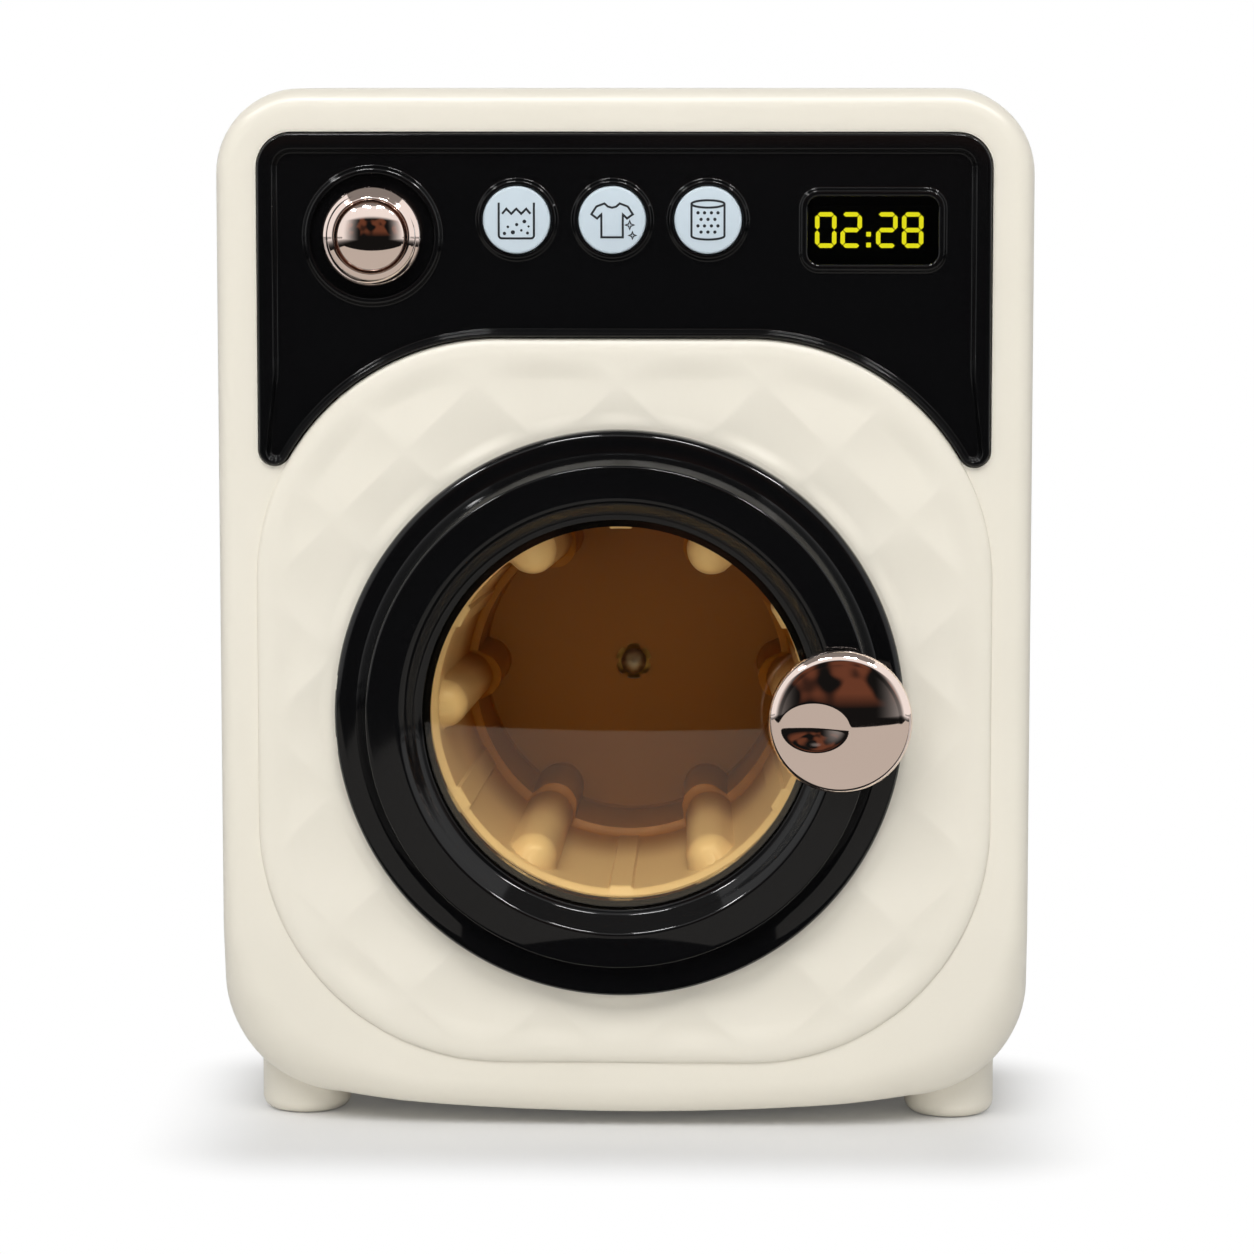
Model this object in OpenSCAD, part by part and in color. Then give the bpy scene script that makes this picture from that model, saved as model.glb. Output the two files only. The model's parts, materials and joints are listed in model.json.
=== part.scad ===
// Toy washing machine with a turning drum, a hinged door and push buttons.
// X runs to the right, the front faces -Y, and Z is up from the surface that the feet stand on.
// Each sub-part is drawn as seen from the front: x to the right, y up, and z towards the viewer,
// with z = 0 on the frame face round the controls. The module stand() then sets it upright.

/* [Body] */
// Width of the body
body_w = 216; // [208:1:240]
// Height of the body, from its lowest edge to its top
body_h = 272.6; // [268:0.2:300]
// Depth of the body, from the frame round the controls to the back
body_d = 168; // [164:1:200]
// Gap under the middle of the body
foot_gap = 3.9; // [3:0.1:12]
// Wall thickness of both casing shells
wall = 2.5; // [2:0.1:3]
// Radius of the top corners, seen from the front
top_r = 19; // [12:0.5:26]
// Radius of the bottom corners, seen from the front
bottom_r = 31; // [24:0.5:40]
// How far the bottom edge bows down between its corners
bottom_bow = 4; // [2:0.5:6]
// Rounding of the front and back edges
edge_r = 5; // [3:0.5:6]
// Depth of the front shell, up to the parting line
split_d = 88; // [70:1:105]
// Depth of the lip that the rear shell slides into the front shell
lip_d = 3; // [2.5:0.5:6]
// Thickness of that lip
lip_t = 1.5; // [1:0.1:2]
// How far the wells reach past the parting line to meet the front shell's posts
well_reach = 2; // [1:0.5:2]

/* [Front panel] */
// Distance from the body's side to the raised quilted panel round the door
panel_side = 11; // [10:0.5:14]
// Distance from the top of the body to the panel's upper edge
panel_drop = 65.1; // [62:0.1:68]
// Height of the panel's lower edge above the body's lowest edge
panel_rise = 14.5; // [12:0.5:18]
// Corner radius of the raised panel
panel_r = 64; // [56:1:70]
// How far the panel stands proud of the frame
panel_raise = 1.8; // [1:0.1:2.5]
// Bevel round the panel's edge
panel_bevel = 1.2; // [0.5:0.1:1.6]

/* [Fascia] */
// Distance from the body's side to the control fascia
fascia_side = 12; // [10:0.5:14]
// Distance from the top of the body to the top of the fascia
fascia_margin = 11.6; // [9:0.2:14]
// Radius of the fascia's top corners
fascia_r = 9; // [5:0.5:14]
// Gap between the fascia's arched edge and the panel
fascia_gap = 0.4; // [0.2:0.1:1]
// Radius of the two horn tips
tip_r = 4; // [3:0.1:5]
// Thickness of the fascia behind its field
fascia_t = 3; // [2.4:0.2:4]
// Height of the raised bead round the field
bead_h = 2; // [1:0.2:3]
// Width of the bead along the top
bead_top = 5.3; // [3:0.1:7]
// Width of the bead along the sides
bead_side = 5.3; // [3:0.1:7]
// Width of the bead along the arch
bead_arch = 2.1; // [1.5:0.1:3]

/* [Knob] */
// Distance from the fascia's side to the knob's middle
knob_in = 30.2; // [28:0.1:34]
// Distance from the fascia's top to the knob's middle
knob_drop = 26.8; // [25:0.1:29]
// Radius of the knob
knob_r = 13.1; // [10:0.1:14]
// How far the knob's dome stands proud of the field
knob_proud = 8.5; // [6:0.5:12]
// Radius of the dome inside the knob's groove
knob_dome_r = 9; // [6:0.1:9.5]
// Radius of the well that the knob turns in
well_r = 16.3; // [15:0.1:17]
// Depth of the well
well_d = 1.2; // [0.6:0.2:1.6]
// Width of the raised ring round the well
well_bead = 1.9; // [1:0.1:3]
// Radius of the knob's shaft
knob_shaft_r = 3; // [2.5:0.1:3.5]

/* [Buttons] */
// Sideways place of the middle button
button_x = -2.9; // [-6:0.1:6]
// Distance from one button to the next
button_pitch = 25; // [23:0.1:26]
// Distance from the fascia's top to the buttons' middle
button_drop = 22.5; // [20:0.1:26]
// Radius of a button
button_r = 8.8; // [7:0.1:9.5]
// How far a button stands proud of the field
button_proud = 3.2; // [2:0.1:5]
// Travel of a button
button_travel = 1.5; // [1:0.1:2]
// Width of the raised ring round a button
button_bead = 1.5; // [0.8:0.1:2]
// Radius of the stem behind a button
stem_r = 2; // [1.5:0.1:2.5]

/* [Display] */
// Distance from the fascia's side to the display's middle
display_in = 30.9; // [28:0.1:34]
// Distance from the fascia's top to the display's middle
display_drop = 25.2; // [22:0.1:28]
// Width of the display window
window_w = 34; // [32:0.2:36]
// Height of the display window
window_h = 17.6; // [15:0.2:20]
// Corner radius of the display window
window_r = 3; // [1:0.2:4]
// Width of the raised bezel round the window
bezel = 1.9; // [1:0.1:3]
// Height of one digit
digit_h = 9.3; // [8:0.1:10]
// Width of one digit
digit_w = 5.6; // [5:0.1:6]
// Width of a lit segment
segment = 1.15; // [0.8:0.05:1.3]

/* [Door] */
// Sideways place of the door's middle
door_x = -1; // [-2:0.5:2]
// How far the door's middle sits below the panel's middle
door_drop = 2.1; // [0:0.1:4]
// Radius at which the window shows
bore_r = 51.6; // [48:0.2:55]
// Width of the slope from the window out to the ring's face
slope_w = 5.8; // [4:0.2:7]
// Width of the ring's flat face
face_w = 9; // [7.6:0.2:11]
// Width of the step from the face down to the flange
step_w = 2.2; // [1.8:0.1:3]
// Width of the ring's outer flange
flange_w = 6.4; // [5.8:0.1:7]
// Height of the ring's outer flange above the frame
flange_p = 8.6; // [8.6:0.2:10]
// Height of the ring's face above the frame
face_p = 13.8; // [12.6:0.2:15]
// Height of the ring's inner edge above the frame
lip_p = 9; // [8.4:0.2:10]
// Thickness of the ring's skin
skin = 1.4; // [1.2:0.1:1.5]
// Gap between the closed door and the panel
door_gap = 0.3; // [0.3:0.1:0.6]
// Thickness of the ring that holds the window from behind
back_t = 1.6; // [1.4:0.1:2]
// How far the ring behind the window reaches in past its edge
back_lap = 2; // [1:0.2:3]
// Thickness of the window
window_t = 1.8; // [1.4:0.1:2.4]
// How far the window domes outwards
window_dome = 4; // [2:0.2:5]

/* [Handle] */
// Distance from the ring's edge in to the handle's middle
handle_in = 17; // [15:0.2:18]
// Radius of the handle
handle_r = 18.8; // [16:0.1:20]
// Thickness of the handle's rim
handle_rim = 7; // [6:0.2:8]
// Gap between the ring's face and the handle
handle_gap = 3; // [2:0.2:4]
// Radius of the foot that carries the handle
handle_foot_r = 8; // [6:0.2:9]
// Radius of the boss behind it that takes the handle's screw
handle_boss_r = 3.6; // [3.2:0.1:4]
// Radius of the ball that hollows the thumb rest
dimple_r = 13; // [11:0.5:16]
// Depth of the thumb rest
dimple_d = 2.6; // [1.5:0.1:3.5]

/* [Hinge and latch] */
// Distance from the ring's edge in to the hinge pin
hinge_in = 5.5; // [5.2:0.1:5.7]
// Height of the hinge pin above the frame
hinge_p = 4.8; // [4.7:0.1:4.9]
// Radius of the hinge pin
pin_r = 1; // [0.8:0.1:1.1]
// Radius of the ears and of the knuckle round the pin
ear_r = 2; // [1.8:0.1:2]
// Half the length of the knuckle
knuckle = 6.5; // [5:0.5:8]
// Thickness of each ear
ear_t = 3; // [2:0.5:4]
// Width of the hinge bracket's plate
bracket_w = 17; // [16:0.5:18]
// Height of the hinge bracket's plate
bracket_h = 30; // [29:1:36]
// Length of the groove that the door's edge swings in
groove_l = 56; // [50:1:58]
// Distance from the outside of the ring's flat face in to the latch tongue
latch_in = 2; // [1.6:0.1:2.4]
// Thickness of the latch tongue
tongue_t = 2; // [1.6:0.1:2.4]
// Width of the latch tongue
tongue_w = 8; // [6:0.5:10]
// How far the latch tongue reaches behind the frame
tongue_d = 9; // [8:0.5:11]

/* [Drum] */
// How much wider the front shell's port is than the window
port_gap = 0.8; // [0.6:0.1:1.4]
// Gap between the port and the drum's front lip
drum_gap = 1.6; // [1:0.1:3]
// Depth of the drum's front lip behind the frame
drum_front = 3.6; // [3:0.2:5]
// Depth of the drum's back wall behind the frame
drum_back = 110; // [106:1:112]
// Depth of the ledge where the drum narrows
ledge_d = 74; // [65:1:85]
// Width of the drum's front lip
lip_w = 2.8; // [2.4:0.1:4]
// How much the drum narrows from its lip to the ledge
drum_taper = 2.6; // [1:0.1:3]
// Width of the ledge
ledge_w = 2.8; // [2:0.1:5]
// Thickness of the drum's wall
drum_t = 1.6; // [1.2:0.1:2]
// Number of lifters in the drum
lifters = 6; // [3:1:8]
// Radius of a lifter
lifter_r = 7; // [5:0.5:8]
// Depth at which the lifters begin
lifter_front = 9; // [7:1:15]
// Radius of the screw cap in the drum's back wall
cap_r = 3.6; // [3:0.1:5]

/* [Tub] */
// Gap between the drum's lip and the fixed tub round it
tub_side = 2.6; // [2:0.1:3.2]
// Wall thickness of the tub
tub_t = 2; // [1.6:0.1:2.4]
// Gap between the drum and the tub's back wall
tub_gap = 1; // [0.6:0.1:2]
// Distance from the tub's inner wall out to its screws
tub_ear = 7.6; // [7:0.1:8.4]
// Height of the bosses that carry the tub's ears
tub_boss = 6; // [5:0.5:8]
// Width of the web that joins each ear to the tub
tub_web = 4; // [2:0.5:5]

/* [Gears] */
// Radius of the drum shaft
shaft_r = 3; // [2.5:0.1:3.5]
// Teeth on the drum gear
drum_teeth = 40; // [36:1:42]
// Teeth on the idler's small gear
small_teeth = 14; // [14:1:16]
// Tooth size of the drum gear and of the small gear that drives it
drum_module = 1; // [0.9:0.05:1]
// Teeth on the idler's big gear
big_teeth = 36; // [32:1:38]
// Teeth on the motor's pinion
pinion_teeth = 14; // [14:1:16]
// Tooth size of the idler's big gear and of the pinion
motor_module = 0.7; // [0.65:0.05:0.75]
// Thickness of the drum gear
drum_gear_t = 5; // [4:0.2:5.4]
// Thickness of the idler's big gear
big_gear_t = 4; // [3:0.2:4.4]
// Direction from the drum's axis to the idler's axis
idler_angle = 150; // [140:1:160]
// Direction from the idler's axis to the motor's axis
motor_angle = 200; // [190:1:210]
// Play between meshing teeth
backlash = 0.16; // [0.1:0.02:0.24]
// Radius of the idler's pin
idler_pin_r = 1.5; // [1.2:0.1:2]

/* [Gearbox and motor] */
// Width of the gearbox case
case_w = 92; // [90:1:96]
// Height of the gearbox case
case_h = 74; // [72:1:78]
// Sideways place of the case's middle from the drum's axis
case_shift = -12; // [-14:1:-10]
// Wall thickness of the gearbox case
case_wall = 2; // [1.6:0.1:2.4]
// Thickness of the gearbox cover
cover_t = 2; // [1.6:0.1:2.4]
// Half the spacing of the gearbox screws
gear_screw = 33; // [32:0.5:34]
// Width across the round sides of the motor
motor_w = 20.4; // [20:0.1:21]
// Height across the flat sides of the motor
motor_h = 15.4; // [15:0.1:16]
// Length of the motor's can
motor_l = 25; // [24:0.5:26]
// Radius of the motor's shaft
motor_shaft_r = 1; // [0.8:0.1:1.1]
// Thickness of the motor retainer
retainer_t = 1.6; // [1.2:0.1:2]

/* [Board] */
// Distance from the fascia's floor to the board
board_gap = 10.5; // [9:0.5:13]
// Thickness of the board
board_t = 1.6; // [1.2:0.1:2]
// How far the board reaches past the middle of the knob
board_left = 20.2; // [16:0.1:21]
// How far the board reaches past the middle of the display
board_right = 24.9; // [22:0.1:26]
// Height of the board
board_h = 34; // [32:1:35]
// Width of the switch that the knob turns
dial_w = 13; // [11:0.5:15]
// Thickness of the keypad's sheet
keypad_t = 1; // [0.8:0.1:1.4]
// Height of the keypad's domes above its sheet
dome_h = 1.6; // [1:0.1:2]

/* [Loudspeaker] */
// Radius of the loudspeaker
speaker_r = 25; // [22:0.5:27]
// Height of the loudspeaker's middle below the top of the body
speaker_drop = 60; // [56:1:64]
// Depth of the loudspeaker
speaker_d = 16; // [12:0.5:20]
// Thickness of the loudspeaker's rim
speaker_rim = 1.5; // [1.2:0.1:2]
// Radius of one grille hole
grille_r = 1.3; // [1:0.1:1.5]
// Spacing of the grille holes
grille_pitch = 4.6; // [4:0.2:6]

/* [Batteries] */
// Radius of a battery cell
cell_r = 7.15; // [7:0.05:7.25]
// Length of a battery cell
cell_l = 50.4; // [49:0.2:50.6]
// Distance from one cell to the next
cell_pitch = 15; // [14.8:0.1:16]
// Height of the battery bay's middle above the body's lowest edge
bay_rise = 45; // [42:1:50]
// Room for the contacts at each end of a cell
contact_room = 3.2; // [3:0.2:4]
// Wall thickness of the battery box
box_wall = 1.5; // [1.2:0.1:1.8]
// Thickness of the battery cover
cover_plate = 1.8; // [1.6:0.1:2]
// Width of the ledge that the cover rests on
cover_ledge = 3.4; // [2.6:0.2:4]

/* [Power switch] */
// Sideways place of the power switch
switch_x = 60; // [58:1:66]
// Height of the power switch above the body's lowest edge
switch_rise = 66; // [50:1:70]
// Travel of the power switch
switch_travel = 4; // [3:0.5:5]
// Width of the switch's slider
slider_w = 4.5; // [4:0.1:6]
// Height of the switch's slider
slider_h = 4; // [3:0.1:5]

/* [Feet] */
// Radius of a foot
foot_r = 12; // [9:0.5:14]
// Half the distance from the left feet to the right ones
foot_x = 87.5; // [84:0.5:90]
// Distance from the front face to the front feet, and from the back to the rear feet
foot_inset = 28; // [22:1:34]
// Rounding of a foot's lower edge
foot_edge = 3.5; // [1:0.5:4]

/* [Screws] */
// Radius of a small screw's thread
screw_r = 1.1; // [0.9:0.05:1.2]
// Radius of a small screw's head
head_r = 2.5; // [2.2:0.1:2.8]
// Height of a small screw's head
head_h = 1.4; // [1:0.1:1.8]
// Radius of a boss that takes a small screw
boss_r = 2.9; // [2.6:0.1:3.2]
// Radius of a casing screw's thread
case_screw_r = 1.4; // [1.2:0.1:1.6]
// Radius of a casing screw's head
case_head_r = 3; // [2.6:0.1:3.2]
// Length of a casing screw's thread
case_screw_l = 10; // [8:0.5:14]
// Outer radius of the wells that the casing screws go down
screw_well_r = 5; // [4.8:0.1:5.4]

/* [Fits] */
// Radial clearance of a shaft or pin in its hole
fit = 0.05; // [0.03:0.01:0.08]
// Gap between pieces that move past each other
run = 0.3; // [0.3:0.05:0.4]
// Gap round a piece that is set into another
seat = 0.2; // [0.1:0.05:0.25]

/* [Leads] */
// Radius of an insulated lead
lead_r = 0.8; // [0.5:0.1:1]

/* [Hidden] */

$fn = 64;
cream = [0.91, 0.885, 0.82];
black = [0.05, 0.05, 0.055];
rose_gold = [0.78, 0.55, 0.46];
ice_blue = [0.78, 0.83, 0.86];
steel = [0.66, 0.67, 0.69];

// Holes for small screws: one that the thread bites in, and one that it passes through
pilot_r = screw_r + fit;
pass_r = screw_r + run;

// Radii of the door, the drum and the tub, from the window's edge
slope_r = bore_r + slope_w;
face_r = slope_r + face_w;
step_r = face_r + step_w;
ring_r = step_r + flange_w;
back_bore_r = bore_r - back_lap;
handle_off = ring_r - handle_in;
hinge_off = ring_r - hinge_in;
latch_off = face_r - latch_in;
port_r = bore_r + port_gap;
drum_r = port_r - drum_gap;
drum_in_r = drum_r - lip_w;
drum_mid_r = drum_in_r - drum_taper;
drum_end_r = drum_mid_r - ledge_w;
tub_r = drum_r + tub_side;
tub_screw_off = tub_r + tub_ear;

// Heights and levels
body_top = foot_gap + body_h;
panel_bottom = foot_gap + panel_rise;
panel_top = body_top - panel_drop;
panel_h = panel_top - panel_bottom;
door_z = (panel_top + panel_bottom) / 2 - door_drop;
fascia_top = body_top - fascia_margin;
knob_z = fascia_top - knob_drop;
button_z = fascia_top - button_drop;
board_z = button_z - 3.5;
display_z = fascia_top - display_drop;
speaker_z = body_top - speaker_drop;
bay_z = foot_gap + bay_rise;
switch_z = foot_gap + switch_rise;
floor_p = -fascia_t;
floor_back = floor_p - wall;
board_p = floor_back - board_gap;
board_back = board_p - board_t;
panel_p = panel_raise;
wall_p = -wall;
back_p = -body_d;
tub_ear_p = wall_p - tub_boss - 2.5;
back_wall_p = back_p + wall;
handle_back = face_p + handle_gap;
handle_front = handle_back + handle_rim;
front_y = (handle_front - body_d) / 2;

// Widths, and places across the front
panel_w = body_w - 2 * panel_side;
fascia_w = body_w - 2 * fascia_side;
knob_x = knob_in - fascia_w / 2;
display_x = fascia_w / 2 - display_in;
board_w = display_x + board_right - knob_x + board_left;
board_x = (display_x + board_right + knob_x - board_left) / 2;

// Circle of the bowed bottom edge, from its half chord and its rise
bow_half = body_w / 2 - bottom_r;
bow_r = (bow_half * bow_half + bottom_bow * bottom_bow) / (2 * bottom_bow);

// Middle of a horn tip, which touches the fascia's side and the panel's corner arc
tip_x = fascia_w / 2 - tip_r;
arc_x = panel_w / 2 - panel_r;
arc_z = panel_top - panel_r;
tip_z = arc_z + sqrt(pow(panel_r + fascia_gap + tip_r, 2) - pow(tip_x - arc_x, 2));

// Back of the door and the swing of its left edge round the hinge pin
door_back_p = panel_p + door_gap;
edge_cut = 1.4;
flange_round = 3;
swing_r = max(norm([ring_r - hinge_off, hinge_p - door_back_p - edge_cut]),
    norm([ring_r - edge_cut - hinge_off, hinge_p - door_back_p]),
    norm([ring_r - flange_round - hinge_off, flange_p - flange_round - hinge_p]) + flange_round) + run;
// Levels behind the drum
hub_back = drum_back + drum_t + 2;
tub_back = hub_back + tub_gap;
tub_end = tub_back + tub_t;
gear_front = tub_end + cover_t + 1;
small_end = gear_front + drum_gear_t + 1;
big_end = small_end + big_gear_t;
case_floor = big_end + 1.5;
case_end = case_floor + case_wall;
motor_end = case_end + motor_l;
retainer_end = motor_end + retainer_t;

// Gear train: distances and places of the axes
idler_off = (drum_teeth + small_teeth) * drum_module / 2 + 0.1;
motor_off = (big_teeth + pinion_teeth) * motor_module / 2 + 0.1;
idler_at = [door_x, door_z] + idler_off * [cos(idler_angle), sin(idler_angle)];
motor_at = idler_at + motor_off * [cos(motor_angle), sin(motor_angle)];
small_turn = idler_angle + 180 + 180 / small_teeth;
pinion_turn = motor_angle + 180 + 180 / pinion_teeth;

// Battery bay
bay_w = cell_l + 2 * contact_room;
bay_h = 3 * cell_pitch;
bay_deep = 2 * cell_r + 0.4;
plate_w = bay_w + 2 * cover_ledge;
plate_bottom = bay_z - bay_h / 2 - cover_ledge;
cover_screw_z = bay_z + bay_h / 2 + box_wall + boss_r + run;
plate_top = cover_screw_z + head_r + 1;
plate_z = (plate_top + plate_bottom) / 2;
plate_h = plate_top - plate_bottom;
recess_d = cover_plate + seat;
pad_p = back_p + recess_d + wall;

// Places that repeat
side_screw_x = body_w / 2 - wall - screw_well_r + 0.6;
case_screws = [[-70, body_top - wall - 3.7], [70, body_top - wall - 3.7],
    [-side_screw_x, door_z + 37], [side_screw_x, door_z + 37],
    [-bow_half - 4, foot_gap + bottom_bow + 15], [bow_half + 4, foot_gap + bottom_bow + 15]];
fascia_pegs = [[-48, fascia_top - 8.5], [48, fascia_top - 8.5], [-tip_x + 3, tip_z + 14],
    [tip_x - 3, tip_z + 14], [-30, panel_top + 6], [40, panel_top + 6]];
board_posts = [for (x = [-1, 1], z = [-1, 1])
    [board_x + x * (board_w / 2 - 4), board_z + z * (board_h / 2 - 4)]];
button_xs = [button_x - button_pitch, button_x, button_x + button_pitch];
speaker_clamps = [for (a = [90, 210, 330]) (speaker_r + 4) * [cos(a), sin(a)]];
tub_screw_angles = [45, 135, 225, 315];
door_screw_angles = [22, 68, 112, 158, 202, 248, 292, 338];
door_screw_off = (face_r + slope_r) / 2;
box_ears = [for (x = [-1, 1], z = [-1, 1]) [x * (bay_w / 2 + box_wall + 4.5), bay_z + z * bay_h / 3]];
foot_spots = [for (x = [-1, 1]) x * foot_x];
foot_boss = 6;
foot_boss_r = 4.5;
bend_r = lead_r + 0.3;
foot_seat_z = foot_gap + bottom_bow + bottom_r
    - sqrt(pow(bottom_r, 2) - pow(foot_x - bow_half, 2));

// Stands a sub-part that is drawn as seen from the front upright
module stand() translate([0, front_y, 0]) rotate([90, 0, 0]) children();

// Plate from one level to another
module slab(back, front) translate([0, 0, back]) linear_extrude(front - back) children();

// Cylinder from one level to another at a place on the front view
module post(at, back, front, r) translate([at[0], at[1], back]) cylinder(h = front - back, r = r);

// Rectangle about its middle with rounded corners
module pill(w, h, r) {
    square([w - 2 * r, h], center = true);
    square([w, h - 2 * r], center = true);
    for (x = [-1, 1], y = [-1, 1]) translate([x * (w / 2 - r), y * (h / 2 - r)]) circle(r);
}

// Pan-head screw with its head's seat at one level: facing 1 points towards the viewer, -1 away
module screw(at, seat_p, length, thread, head, height, facing = 1) {
    translate([at[0], at[1], seat_p]) rotate([facing > 0 ? 0 : 180, 0, 0]) difference() {
        union() {
            translate([0, 0, -height]) cylinder(h = height, r = head);
            cylinder(h = length, r = thread);
        }
        for (turn = [0, 90])
            translate([0, 0, -height - 0.1]) rotate(turn) linear_extrude(height * 0.5 + 0.1)
                square([head * 1.1, head * 0.28], center = true);
    }
}

module small_screw(at, seat_p, length, facing = 1)
    screw(at, seat_p, length, screw_r, head_r, head_h, facing);

// Outline of the body, drawn in by an inset
module body_outline(inset) {
    side = body_w / 2 - inset;
    low = foot_gap + bottom_bow + bottom_r;
    high = body_top - top_r;
    top_half = body_w / 2 - top_r;
    translate([-side, low]) square([2 * side, high - low]);
    translate([-top_half, high]) square([2 * top_half, top_r - inset]);
    for (s = [-1, 1]) {
        translate([s * bow_half, low]) circle(bottom_r - inset);
        translate([s * top_half, high]) circle(top_r - inset);
    }
    intersection() {
        translate([-bow_half, foot_gap]) square([2 * bow_half, high - foot_gap]);
        translate([0, foot_gap + bow_r]) circle(bow_r - inset, $fn = 720);
    }
}

// Outline of the raised panel, grown by a margin
module panel_outline(margin) {
    translate([0, panel_bottom + panel_h / 2])
        pill(panel_w + 2 * margin, panel_h + 2 * margin, panel_r + margin);
}

// Outline of the fascia, drawn in by an inset: a plate that arches over the panel, with two horns
module fascia_outline(inset) {
    half = fascia_w / 2 - inset;
    difference() {
        union() {
            translate([-half, tip_z]) square([2 * half, fascia_top - fascia_r - tip_z]);
            translate([-half + fascia_r - inset, tip_z])
                square([2 * (half - fascia_r + inset), fascia_top - inset - tip_z]);
            for (s = [-1, 1])
                translate([s * (fascia_w / 2 - fascia_r), fascia_top - fascia_r])
                    circle(fascia_r - inset);
        }
        panel_outline(fascia_gap + inset);
    }
    for (s = [-1, 1]) translate([s * tip_x, tip_z]) circle(tip_r - inset);
}

// Outline of the recessed field inside the fascia's bead
module field_outline() {
    half = fascia_w / 2 - bead_side;
    top = fascia_top - bead_top;
    corner = max(fascia_r - bead_top, 1);
    low = tip_z + 3;
    difference() {
        union() {
            translate([-half, low]) square([2 * half, top - corner - low]);
            translate([-half + corner, low]) square([2 * (half - corner), top - low]);
            for (s = [-1, 1]) translate([s * (half - corner), top - corner]) circle(corner);
        }
        panel_outline(fascia_gap + bead_arch);
    }
}

// Rounded end of the body: five slices of its outline, from full size in to the face
module body_end(face, into) {
    hull()
        for (step = [0:4]) {
            a = step * 22.5;
            level = face - into * edge_r * (1 - sin(a));
            slab(level - 0.01, level + 0.01) body_outline(edge_r * (1 - cos(a)));
        }
}

// Door of the machine: its ring is turned from an outline of radius and height
module door_place() translate([door_x, door_z]) children();

module ring_section() {
    outer = ring_r;
    polygon([[outer, door_back_p + edge_cut], [outer - edge_cut, door_back_p],
        [outer - skin - 0.4, door_back_p],
        [outer - skin - 0.4, flange_p - skin], [step_r - skin, flange_p - skin],
        [face_r - skin * 0.6, face_p - skin], [slope_r + 0.4, face_p - skin],
        [bore_r + skin + 0.4, lip_p - skin], [bore_r, lip_p - skin], [bore_r, lip_p],
        [slope_r, face_p], [face_r, face_p], [step_r, flange_p],
        [outer - flange_round, flange_p], [outer, flange_p - flange_round]]);
    intersection() {
        translate([outer - flange_round, flange_p - flange_round]) circle(flange_round);
        translate([outer - flange_round, flange_p - flange_round]) square(flange_round);
    }
}

// Involute gear: flank points from the root to the tip, mirrored and repeated round the wheel
function roll(r, base) = r <= base ? 0 : tan(acos(base / r)) * 180 / PI - acos(base / r);
function flank(r, teeth, size) = let (pitch = teeth * size / 2, base = pitch * cos(20))
    90 / teeth - backlash / 4 / pitch * 180 / PI + roll(pitch, base) - roll(r, base);
function tooth_radii(teeth, size) = let (pitch = teeth * size / 2, base = pitch * cos(20),
    root = pitch - 1.25 * size, tip = pitch + 0.9 * size, start = max(root, base))
    [root, for (k = [0:4]) start + (tip - start) * k / 4];
function tooth(teeth, size, turn) = let (radii = tooth_radii(teeth, size))
    concat([for (r = radii) let (a = turn - flank(r, teeth, size)) r * [cos(a), sin(a)]],
        [for (k = [len(radii) - 1:-1:0]) let (r = radii[k], a = turn + flank(r, teeth, size))
            r * [cos(a), sin(a)]]);
module gear_outline(teeth, size, turn)
    polygon([for (i = [0:teeth - 1]) each tooth(teeth, size, turn + i * 360 / teeth)]);

// Seven segments of a digit, lit where the list says so
module digit(lit) {
    half_w = (digit_w - segment) / 2;
    half_h = (digit_h - segment) / 4;
    spots = [[0, 2 * half_h, 0], [half_w, half_h, 90], [half_w, -half_h, 90], [0, -2 * half_h, 0],
        [-half_w, -half_h, 90], [-half_w, half_h, 90], [0, 0, 0]];
    for (i = [0:6]) if (lit[i] == 1) {
        length = (spots[i][2] == 0 ? 2 * half_w : 2 * half_h) - 0.3;
        translate([spots[i][0], spots[i][1]]) rotate(spots[i][2])
            polygon([[-length / 2, 0], [-length / 2 + segment / 2, segment / 2],
                [length / 2 - segment / 2, segment / 2], [length / 2, 0],
                [length / 2 - segment / 2, -segment / 2], [-length / 2 + segment / 2, -segment / 2]]);
    }
}

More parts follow.
